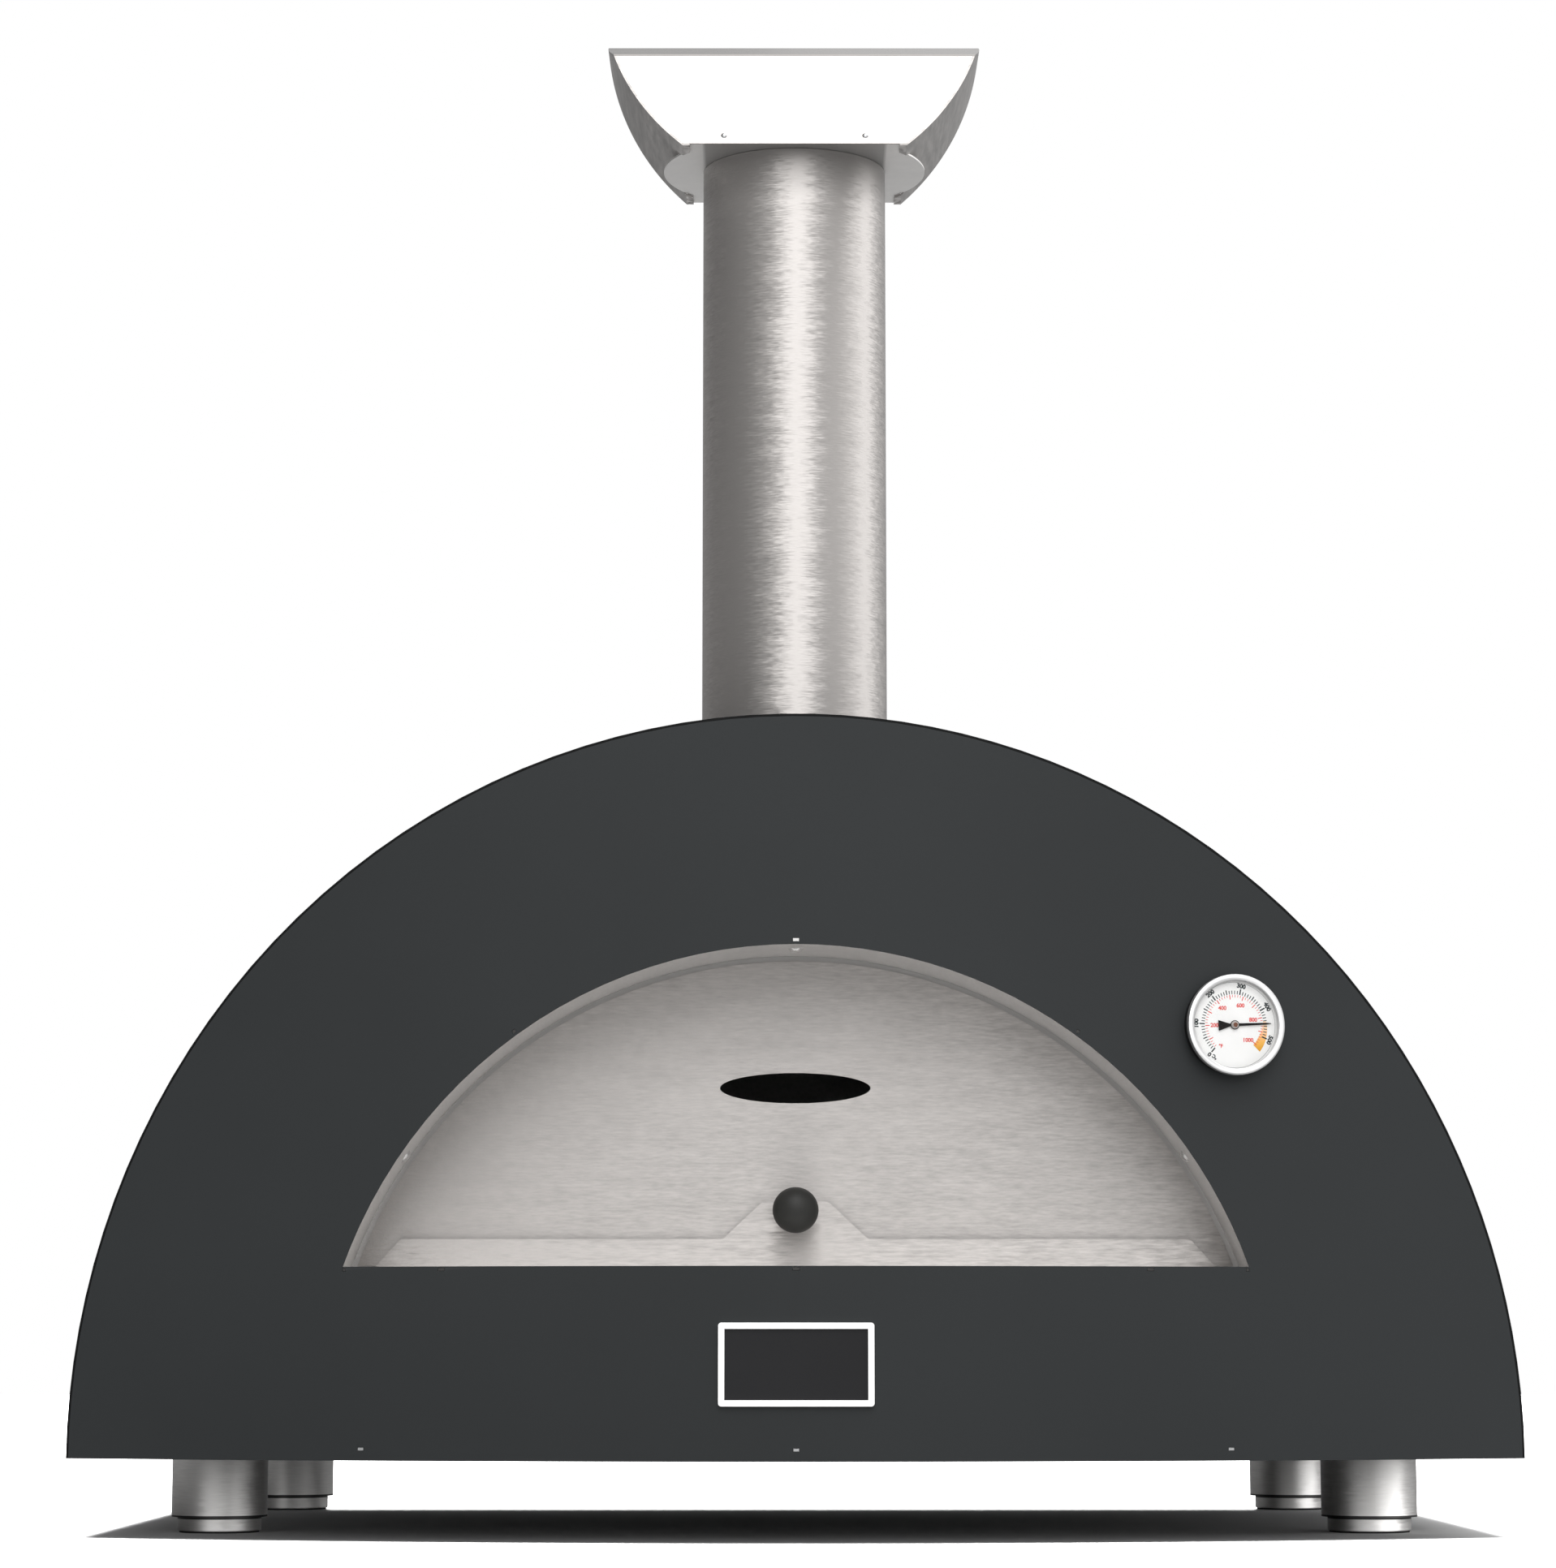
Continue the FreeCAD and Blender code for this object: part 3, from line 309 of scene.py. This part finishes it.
def plain_metal(name, base, tint=WHITE, rough=0.35, size=0.004, bump_height=0.01, spots=0.10):
    """Mill finished or galvanised sheet and turned bolts."""
    material, tree, shader = new_material(name)
    point = object_point(tree)
    flake = tree.add("ShaderNodeTexVoronoi", {"Vector": point, "Scale": 1.0 / size})
    cloud = tree.noise(point, 25.0, 3.0, 0.6)
    tone = tree.mix(tree.remap(flake.outputs["Distance"], 0.0, 0.8, 0.0, 1.0),
                    grey(base * (1 - spots), tint), grey(base * (1 + spots), tint))
    tone = tree.mix(tree.remap(cloud, *WIDE, 0.0, 0.3), tone, grey(base * 0.75, tint))
    tree.put(shader.inputs["Base Color"], tone)
    shader.inputs["Metallic"].default_value = 1.0
    tree.put(shader.inputs["Roughness"], tree.remap(cloud, *WIDE, rough - 0.06, rough + 0.1))
    bump = tree.add("ShaderNodeBump", {"Strength": 0.3, "Distance": bump_height * MM, "Height": cloud})
    tree.put(shader.inputs["Normal"], bump.outputs["Normal"])
    return material


def matt_solid(name, colour, second, rough=0.8, size=0.003, bump_height=0.2, strength=0.5, spec=0.4):
    """Brick, board, fibre, rubber and moulded plastic."""
    material, tree, shader = new_material(name)
    point = object_point(tree)
    grain = tree.noise(point, 1.0 / size, 5.0, 0.6)
    cloud = tree.noise(point, 12.0, 3.0, 0.6)
    tone = tree.mix(tree.remap(grain, *MIDDLE, 0.0, 1.0), opaque(colour), opaque(second))
    tone = tree.mix(tree.remap(cloud, *WIDE, 0.0, 0.35), tone, opaque(colour, 0.7))
    tree.put(shader.inputs["Base Color"], tone)
    tree.put(shader.inputs["Roughness"], tree.remap(grain, *WIDE, rough - 0.08, rough + 0.08))
    bump = tree.add("ShaderNodeBump", {"Strength": strength, "Distance": bump_height * MM, "Height": grain})
    tree.put(shader.inputs["Normal"], bump.outputs["Normal"])
    shader.inputs["Specular IOR Level"].default_value = spec
    return material


# ---- materials -------------------------------------------------------------
PIPE_R = 0.077            # radius on which the pipe's grain is wrapped
FOOT_R = 0.0395
# heights of the painted shade in the gap where a foot's tube meets its base
FOOT_GAP_SHADE = (0.0112, 0.0143)
FINE = {"size": 0.0008, "bump_height": 0.01, "strength": 0.2}          # smooth enamel and moulded plastic
INK_LOOK = {"rough": 0.6, "size": 0.0006, "bump_height": 0.002, "strength": 0.1, "spec": 0.2}
materials = {
    "slate": powder_coat("slate_powder_coat", SLATE),
    # The roof shell gets painted shade on its front rim, the dark line round the facade.
    "slate_shell": powder_coat("slate_powder_coat_shell", SLATE, painted_rim_shade=True),
    # The door gets painted shade, darker towards the bottom.
    "door": brushed("door_brushed_steel", 0.57, rough=0.37, length=0.013, width=0.0019, depth=0.05,
                    spread=0.18, waver=0.22, painted_shade=(DOOR_HIGH.z - 0.095, DOOR_LOW.z, 0.36)),
    "door_foot": brushed("door_foot_brushed_steel", 0.47, rough=0.38, length=0.015, width=0.0019, depth=0.05,
                         spread=0.20, waver=0.5),
    # The liner gets painted shade on its front-facing lip and on the tab ends in their slots.
    "liner": brushed("liner_brushed_steel", 0.90, NEUTRAL, rough=0.62, anisotropic=0.0, length=0.020,
                     spread=0.03, painted_front_shade=0.60, tabs=True),
    # The pipe gets painted shade under the cap, darker towards the top.
    "pipe": brushed("pipe_brushed_steel", 0.68, rough=0.42, around=(PIPE_AXIS.x, PIPE_AXIS.y, PIPE_R),
                    length=0.009, width=0.0011, depth=0.05, spread=0.06, waver=0.80,
                    painted_shade=(PIPE_HIGH.z - 0.042, PIPE_HIGH.z - 0.004, 0.62)),
    "cap": brushed("cap_brushed_steel", 0.66, rough=0.40, length=0.040, width=0.0012, depth=0.010,
                   spread=0.03),
    # The wings' steel is toned darker than the cap's: painted shade.
    "cap_wing": brushed("cap_wing_brushed_steel", 0.44, rough=0.34, length=0.040, width=0.0045, depth=0.10,
                        spread=0.30),
    # The lid gets painted shade on its front-facing edge.
    "cap_lid": brushed("cap_lid_brushed_steel", 0.34, rough=0.26, anisotropic=0.0, length=0.040,
                       width=0.0012, depth=0.010, spread=0.05, painted_front_shade=0.51),
    # The cap's base gets painted shadow of the pipe's top, in front of the pipe.
    "cap_base": brushed("cap_base_satin_steel", 0.95, NEUTRAL, rough=0.55, anisotropic=0.0, length=0.020,
                        spread=0.03, pipe_shadow_reach=PIPE_R),
    "bezel": brushed("bezel_polished_steel", 0.74, WHITE, rough=0.48, anisotropic=0.0, length=0.010,
                     spread=0.02, depth=0.004),
    "plain_steel": plain_metal("mill_steel", 0.45, (1.0, 0.98, 0.96)),
    "zinc_steel": plain_metal("galvanised_sheet", 0.62, (0.98, 0.99, 1.0), size=0.012, spots=0.16,
                              rough=0.45),
    "bolt_steel": plain_metal("zinc_bolt", 0.66, (0.98, 0.99, 1.0), rough=0.3, size=0.002),
    # The liner's screws are toned much lighter than the other bolts: painted highlight on their heads.
    "bright_bolt": plain_metal("bright_bolt", 0.96, rough=0.22, size=0.002, spots=0.04),
    "brick": matt_solid("firebrick", (0.66, 0.55, 0.43), (0.55, 0.43, 0.32), rough=0.9, size=0.002),
    "board": matt_solid("insulating_board", (0.78, 0.77, 0.73), (0.68, 0.67, 0.63), rough=0.95, size=0.004),
    "blanket": matt_solid("ceramic_fibre", (0.84, 0.83, 0.80), (0.72, 0.71, 0.68), rough=1.0, size=0.006,
                          bump_height=1.5),
    "pad": matt_solid("black_rubber", (0.012, 0.012, 0.012), (0.02, 0.02, 0.02), rough=0.75, size=0.001,
                      bump_height=0.05),
    "case": matt_solid("black_case_enamel", (0.010, 0.010, 0.010), (0.014, 0.014, 0.014), rough=0.5, spec=0.3,
                       **FINE),
    "knob": matt_solid("black_phenolic", (0.026, 0.026, 0.024), (0.031, 0.031, 0.029), rough=0.5, spec=0.35,
                       **FINE),
    "badge": matt_solid("badge_enamel", (0.018, 0.018, 0.020), (0.022, 0.022, 0.024), rough=0.5, spec=0.25,
                        **FINE),
    "badge_frame": matt_solid("badge_white_enamel", (0.93, 0.93, 0.93), (0.96, 0.96, 0.96), rough=0.45,
                              **FINE),
    "dial_white": matt_solid("dial_enamel", (0.90, 0.90, 0.89), (0.94, 0.94, 0.93), rough=0.5, size=0.0010,
                             bump_height=0.004, strength=0.2),
    "ink_black": matt_solid("dial_black_ink", (0.030, 0.040, 0.042), (0.045, 0.055, 0.058), **INK_LOOK),
    "ink_red": matt_solid("dial_red_ink", (0.72, 0.085, 0.075), (0.78, 0.11, 0.10), **INK_LOOK),
    "ink_grey": matt_solid("dial_grey_ink", (0.42, 0.43, 0.43), (0.48, 0.49, 0.49), **INK_LOOK),
}


def foot_steel(name, x, y):
    # painted shade in the gap where the tube meets its base
    return brushed(name, 0.60, NEUTRAL, rough=0.60, around=(x, y, FOOT_R), length=0.018, width=0.0012,
                   depth=0.02, spread=0.10, painted_gap_shade=FOOT_GAP_SHADE, anisotropic=0.75, waver=0.5)


def glass_material():
    """A thin clear lens: what it doesn't mirror passes straight through."""
    material = bpy.data.materials.new("lens_glass")
    material.use_nodes = True
    tree = Tree(material.node_tree)
    out = tree.add("ShaderNodeOutputMaterial")
    smear = tree.noise(object_point(tree), 90.0, 2.0, 0.5)
    mirror = tree.add("ShaderNodeBsdfGlossy", {"Roughness": tree.remap(smear, *WIDE, 0.01, 0.05)})
    clear = tree.add("ShaderNodeBsdfTransparent", {"Color": tree.mix(smear, grey(0.99), grey(1.0))})
    rim = tree.add("ShaderNodeFresnel", {"IOR": 1.18})
    mixed = tree.add("ShaderNodeMixShader", {0: rim.outputs[0], 1: clear.outputs[0], 2: mirror.outputs[0]})
    tree.put(out.inputs["Surface"], mixed.outputs[0])
    return material


def ringed(name, colour, second, low, high):
    """Enamel or bronze with a bright ring about the needle's axis, between two radii in millimetres."""
    material, tree, shader = new_material(name)
    from_gauge = tree.vector("SUBTRACT", object_point(tree), GAUGE)
    reach = tree.vector("LENGTH", tree.vector("CROSS_PRODUCT", from_gauge, OUT))
    fine = tree.noise(object_point(tree), 2500.0, 2.0, 0.5)
    plain = tree.mix(fine, opaque(colour), opaque(second))
    bright = tree.mix(fine, (0.62, 0.58, 0.55, 1.0), (0.72, 0.68, 0.65, 1.0))
    ring = between(tree, reach, low * MM, high * MM)
    tree.put(shader.inputs["Base Color"], tree.mix(ring, plain, bright))
    tree.put(shader.inputs["Roughness"], tree.remap(fine, *WIDE, 0.40, 0.55))
    shader.inputs["Specular IOR Level"].default_value = 0.2
    return material


materials["glass"] = glass_material()
materials["hub"] = ringed("needle_hub", (0.20, 0.085, 0.050), (0.28, 0.120, 0.075), 1.8, 9.0)
materials["needle"] = ringed("needle_enamel", (0.006, 0.006, 0.006), (0.009, 0.009, 0.009), 2.0, 3.0)

look = {
    "facade_panel": "slate", "roof_shell": "slate_shell", "rear_panel": "slate", "flue_flange": "slate",
    "rear_screws": "bolt_steel", "flange_screws": "bolt_steel", "liner_screws": "bright_bolt",
    "base_pan": "zinc_steel", "base_rail_left": "zinc_steel", "base_rail_right": "zinc_steel",
    "base_cross_front": "zinc_steel", "base_cross_rear": "zinc_steel", "foot_bolts": "bolt_steel",
    "foot_pads": "pad", "mouth_liner": "liner", "floor_plate": "zinc_steel", "floor_board": "board",
    "floor_tile_1": "brick", "floor_tile_2": "brick", "floor_tile_3": "brick", "floor_tile_4": "brick",
    "inner_vault": "plain_steel", "front_inner_wall": "plain_steel", "rear_inner_wall": "plain_steel",
    "vault_blanket": "blanket", "front_blanket": "blanket", "rear_blanket": "blanket",
    "flue_spigot": "plain_steel", "flue_pipe": "pipe", "cap_base": "cap_base", "cap_spigot": "plain_steel",
    "cap_front": "cap", "cap_lid": "cap_lid", "cap_wing_left": "cap_wing", "cap_wing_right": "cap_wing",
    "cap_rivets": "bolt_steel", "gauge_case": "case", "gauge_bezel": "bezel", "gauge_dial": "dial_white",
    "gauge_lens": "glass", "gauge_stem": "plain_steel", "gauge_nut": "bolt_steel", "gauge_hub": "hub",
    "gauge_needle": "needle", "badge_frame": "badge_frame", "badge_plate": "badge",
    "door_panel": "door", "door_foot": "door_foot", "door_knob": "knob", "door_stud": "bolt_steel",
    "door_nut": "bolt_steel",
}
for name, node in nodes.items():
    if name.startswith("foot_tube") or name.startswith("foot_base"):
        low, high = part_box(name)
        middle = (low + high) / 2
        material = foot_steel(name + "_steel", middle.x, middle.y)
    else:
        material = materials[look[name]]
    node.data.materials.clear()
    node.data.materials.append(material)
    for polygon in node.data.polygons:
        polygon.material_index = 0


# ---- printed dial -----------------------------------------------------------
UP = Vector((0.0, 0.0, 1.0))
RIGHT = UP.cross(OUT).normalized()
DIAL_FACE = max((vertex.co - GAUGE).dot(OUT) for vertex in nodes["gauge_dial"].data.vertices)
INK = 0.00006             # thickness of the print
INK_GAP = 0.00001         # from the dial to the print, so that they don't share a face
CELSIUS_0, CELSIUS_STEP = 228.5, 0.5          # angle of 0 degrees C, degrees of turn for each degree C
FAHRENHEIT_0, FAHRENHEIT_STEP = 237.4, 0.2778


def dial_matrix(radius, angle, turn):
    """Local XY on the dial at a polar place in millimetres, turned about the way out."""
    spot = math.radians(angle)
    origin = GAUGE + RIGHT * (radius * MM * math.cos(spot)) + UP * (radius * MM * math.sin(spot))
    origin += OUT * (DIAL_FACE + INK_GAP)
    face = Matrix((RIGHT, UP, OUT)).transposed().to_4x4()
    return Matrix.Translation(origin) @ face @ Matrix.Rotation(math.radians(turn), 4, "Z")


def extrude_flat(shape, corners, matrix):
    """A thin prism on a flat polygon, added to a bmesh."""
    low = [shape.verts.new(matrix @ Vector((x, y, 0.0))) for x, y in corners]
    high = [shape.verts.new(matrix @ Vector((x, y, INK))) for x, y in corners]
    shape.faces.new(list(reversed(low)))
    shape.faces.new(high)
    for i in range(len(corners)):
        j = (i + 1) % len(corners)
        shape.faces.new((low[i], low[j], high[j], high[i]))


def tick(shape, angle, r0, r1, width):
    half = width * MM / 2
    r0, r1 = r0 * MM, r1 * MM
    extrude_flat(shape, [(r0, -half), (r1, -half), (r1, half), (r0, half)], dial_matrix(0.0, 0.0, angle))


def label(shape, words, size, radius, angle, turn, weight=0.17):
    """A printed word or number, centred on its place, with strokes made wider by weight on each side."""
    curve = bpy.data.curves.new("label", "FONT")
    curve.body = words
    curve.size = size * MM
    curve.align_x = "CENTER"
    curve.align_y = "CENTER"
    curve.extrude = INK / 2
    curve.offset = weight * MM
    curve.resolution_u = 3
    item = bpy.data.objects.new("label", curve)
    scene.collection.objects.link(item)
    bpy.context.view_layer.update()
    mesh = bpy.data.meshes.new_from_object(item)
    mesh.transform(dial_matrix(radius, angle, turn) @ Matrix.Translation((0.0, 0.0, INK / 2)))
    shape.from_mesh(mesh)
    bpy.data.objects.remove(item)
    bpy.data.curves.remove(curve)
    bpy.data.meshes.remove(mesh)


def finish_piece(name, shape, material):
    bmesh.ops.remove_doubles(shape, verts=shape.verts, dist=1e-7)
    bmesh.ops.recalc_face_normals(shape, faces=shape.faces)
    mesh = bpy.data.meshes.new(name)
    shape.to_mesh(mesh)
    shape.free()
    mesh.materials.append(material)
    item = bpy.data.objects.new(name, mesh)
    scene.collection.objects.link(item)
    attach(item, "oven")


def dial_scale_black():
    shape = bmesh.new()
    for degrees in range(0, 501, 10):
        major = degrees % 100 == 0
        middle = degrees % 50 == 0
        reach = 28.6 if major else 27.8 if middle else 27.0
        width = 1.10 if major else 0.90 if middle else 0.70
        tick(shape, CELSIUS_0 - CELSIUS_STEP * degrees, 24.2, reach, width)
    for degrees in range(0, 501, 100):
        angle = CELSIUS_0 - CELSIUS_STEP * degrees
        label(shape, str(degrees), 4.8, 31.0, angle, angle - 90.0, weight=0.25)
    label(shape, "\u00b0C", 3.8, 30.0, CELSIUS_0 + 8.5, CELSIUS_0 - 82.0, weight=0.22)
    finish_piece("dial_print_black", shape, materials["ink_black"])


def dial_scale_red():
    shape = bmesh.new()
    for degrees in range(40, 1001, 20):
        major = degrees % 100 == 0
        tick(shape, FAHRENHEIT_0 - FAHRENHEIT_STEP * degrees, 20.2 if major else 21.8, 23.8,
             0.74 if major else 0.46)
    for degrees in range(200, 1001, 200):
        angle = FAHRENHEIT_0 - FAHRENHEIT_STEP * degrees
        label(shape, str(degrees), 4.4, 16.2, angle - (6.0 if degrees == 1000 else 0.0), 0.0)
    label(shape, "\u00b0F", 3.8, 20.2, 236.0, 0.0)
    finish_piece("dial_print_red", shape, materials["ink_red"])


def printed_row(shape, angle, inner, outer):
    """The four corners of a printed band's section at one angle."""
    matrix = dial_matrix(0.0, 0.0, angle)
    return [shape.verts.new(matrix @ Vector((r * MM, 0.0, z)))
            for r, z in ((inner, 0.0), (outer, 0.0), (outer, INK * 0.5), (inner, INK * 0.5))]


def join_rows(shape, first, second):
    for k in range(4):
        m = (k + 1) % 4
        shape.faces.new((first[k], first[m], second[m], second[k]))


def dial_hot_band():
    """The pale band that widens and darkens towards the hot end of the scale."""
    shape = bmesh.new()
    steps = 48
    rows = []
    for i in range(steps + 1):
        part = i / steps
        inner = 24.0 - 2.2 * min(1.0, part * 1.6)
        outer = 26.4 + 2.8 * part
        rows.append(printed_row(shape, 9.0 - 54.0 * part, inner, outer))
    for first, second in zip(rows, rows[1:]):
        join_rows(shape, first, second)
    shape.faces.new(rows[0])
    shape.faces.new(list(reversed(rows[-1])))
    material, tree, shader = new_material("dial_hot_band_ink")
    height = tree.split(object_point(tree))["Z"]
    place = tree.remap(height, GAUGE.z + 0.001, GAUGE.z - 0.020, 0.0, 1.0)
    tone = tree.ramp(place, [(0.0, (0.96, 0.72, 0.52)), (0.35, (0.93, 0.55, 0.30)),
                             (0.65, (0.86, 0.45, 0.10)), (1.0, (0.68, 0.32, 0.012))])
    tree.put(shader.inputs["Base Color"], tone)
    shader.inputs["Roughness"].default_value = 0.6
    shader.inputs["Specular IOR Level"].default_value = 0.2
    finish_piece("dial_hot_band", shape, material)


def dial_rim():
    """The fine grey line round the printed face."""
    shape = bmesh.new()
    steps = 96
    rows = [printed_row(shape, 360.0 * i / steps, 33.4, 33.8) for i in range(steps)]
    for i in range(steps):
        join_rows(shape, rows[i], rows[(i + 1) % steps])
    finish_piece("dial_rim_line", shape, materials["ink_grey"])


dial_scale_black()
dial_scale_red()
dial_hot_band()
dial_rim()


# ---- floor, light and camera ------------------------------------------------
# Brightness of the sky by direction: degrees round from the front (right is positive), and degrees above the
# horizon. The two are multiplied.
SKY_ROUND = [(-180, 0.40), (-128, 0.06), (-92, 0.06), (-65, 0.13), (-54, 0.24), (-42, 0.40), (-32, 0.60),
             (-21, 1.00), (-12, 1.50), (-2, 1.72), (6, 1.74), (14, 1.66), (22, 1.32), (31, 0.82), (42, 0.58),
             (54, 0.54), (66, 0.62), (78, 0.78), (90, 1.20), (106, 2.00), (118, 1.30), (132, 0.80),
             (156, 0.55)]
SKY_RISE = [(-90, 0.45), (0, 0.55), (6, 0.66), (14, 0.95), (25, 1.20), (38, 1.75), (50, 2.30), (75, 2.30),
            (90, 1.60)]
SUN_WIDTH = math.radians(9.0)
FLOOR_SEEN = grey(0.55)
FLOOR_BOUNCE = grey(0.080)                    # what the floor sends back to the oven
CAMERA_PLACE = (-0.0179, FRONT_Y - 3.240, 0.1453)
CAMERA_RISE = 0.1357                          # radians up from level
CAMERA_TURN = -0.0012
CAMERA_LENS = 96.02                           # on a sensor 36 mm wide


def floor():
    side = 12.0
    mesh = bpy.data.meshes.new("studio_floor")
    corners = [(-side, -side, 0), (side, -side, 0), (side, side, 0), (-side, side, 0)]
    mesh.from_pydata(corners, [], [(0, 1, 2, 3)])
    plane = bpy.data.objects.new("studio_floor", mesh)
    scene.collection.objects.link(plane)
    material = bpy.data.materials.new("studio_floor")
    material.use_nodes = True
    tree = Tree(material.node_tree)
    out = tree.add("ShaderNodeOutputMaterial")
    shown = tree.add("ShaderNodeBsdfDiffuse", {"Color": FLOOR_SEEN})
    bounce = tree.add("ShaderNodeBsdfDiffuse", {"Color": FLOOR_BOUNCE})
    path = tree.add("ShaderNodeLightPath")
    mixed = tree.add("ShaderNodeMixShader", {0: path.outputs["Is Camera Ray"], 1: bounce.outputs[0],
                                             2: shown.outputs[0]})
    tree.put(out.inputs["Surface"], mixed.outputs[0])
    mesh.materials.append(material)
    plane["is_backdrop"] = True
    return plane


def sky():
    """A white room for the camera, and soft panels for the light: dark on the left, bright in front."""
    world = bpy.data.worlds.new("studio")
    scene.world = world
    world.use_nodes = True
    tree = Tree(world.node_tree)
    out = tree.add("ShaderNodeOutputWorld")
    direction = tree.add("ShaderNodeTexCoord").outputs["Generated"]
    parts = tree.split(direction)
    turn = tree.math("ARCTAN2", parts["X"], tree.math("MULTIPLY", parts["Y"], -1.0))
    side = tree.remap(turn, -math.pi, math.pi, 0.0, 1.0)
    walls = tree.ramp(side, [((degrees + 180.0) / 360.0, value) for degrees, value in SKY_ROUND])
    rise = tree.ramp(tree.remap(parts["Z"], -1.0, 1.0, 0.0, 1.0),
                     [((math.sin(math.radians(degrees)) + 1.0) / 2.0, value) for degrees, value in SKY_RISE])
    light = tree.mix(1.0, walls, rise, "MULTIPLY")
    seen = tree.add("ShaderNodeBackground", {"Color": grey(1.0), "Strength": 1.0})
    lit = tree.add("ShaderNodeBackground", {"Color": light, "Strength": 1.0})
    path = tree.add("ShaderNodeLightPath")
    mixed = tree.add("ShaderNodeMixShader", {0: path.outputs["Is Camera Ray"], 1: lit.outputs[0],
                                             2: seen.outputs[0]})
    tree.put(out.inputs["Surface"], mixed.outputs[0])


def floor_sun(name, elevation, front, strength, receivers):
    """A soft sun that lights the floor only, from the front (-Y) or from the rear."""
    lamp = bpy.data.lights.new(name, "SUN")
    lamp.energy = strength
    lamp.angle = SUN_WIDTH
    item = bpy.data.objects.new(name, lamp)
    turn = math.radians(90.0 - elevation)
    item.rotation_euler = (turn if front else -turn, 0.0, 0.0)
    scene.collection.objects.link(item)
    item.light_linking.receiver_collection = receivers


def fill_panel(place, target, size, power, receivers):
    """A soft panel in front that reaches the given objects only."""
    group = bpy.data.collections.new("fill")
    for item in receivers:
        group.objects.link(item)
    lamp = bpy.data.lights.new("fill_panel", "AREA")
    lamp.shape = "RECTANGLE"
    lamp.size, lamp.size_y = size
    lamp.energy = power
    item = bpy.data.objects.new("fill_panel", lamp)
    item.location = place
    item.rotation_euler = (Vector(target) - Vector(place)).to_track_quat("-Z", "Y").to_euler()
    scene.collection.objects.link(item)
    item.light_linking.receiver_collection = group


def camera():
    data = bpy.data.cameras.new("camera")
    data.lens = CAMERA_LENS
    data.sensor_width = 36.0
    item = bpy.data.objects.new("camera", data)
    item.location = CAMERA_PLACE
    item.rotation_euler = (math.pi / 2 + CAMERA_RISE, 0.0, CAMERA_TURN)
    scene.collection.objects.link(item)
    scene.camera = item


floor_only = bpy.data.collections.new("floor_only")
floor_only.objects.link(floor())
sky()
floor_sun("front_sun", 46.5, True, 15.0, floor_only)
floor_sun("rear_sun", 24.6, False, 26.0, floor_only)
feet = [node for name, node in nodes.items() if name.startswith("foot_tube") or name.startswith("foot_base")]
fill_panel((-0.55, FRONT_Y - 1.8, 0.30), (0.0, 0.0, 0.05), (2.4, 0.9), 33.0, feet)
fill_panel((1.6, FRONT_Y - 0.9, 0.30), (0.0, 0.0, 0.05), (2.2, 0.9), 66.0, feet)
printed = [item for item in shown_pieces() if item.name.startswith("dial_")]
whites = [nodes[name] for name in ("gauge_dial", "gauge_bezel", "badge_frame")] + printed
fill_panel((0.3, FRONT_Y - 2.4, 0.6), (0.2, FRONT_Y, 0.3), (2.0, 1.2), 27.0, whites)
camera()
scene.view_settings.view_transform = "Standard"
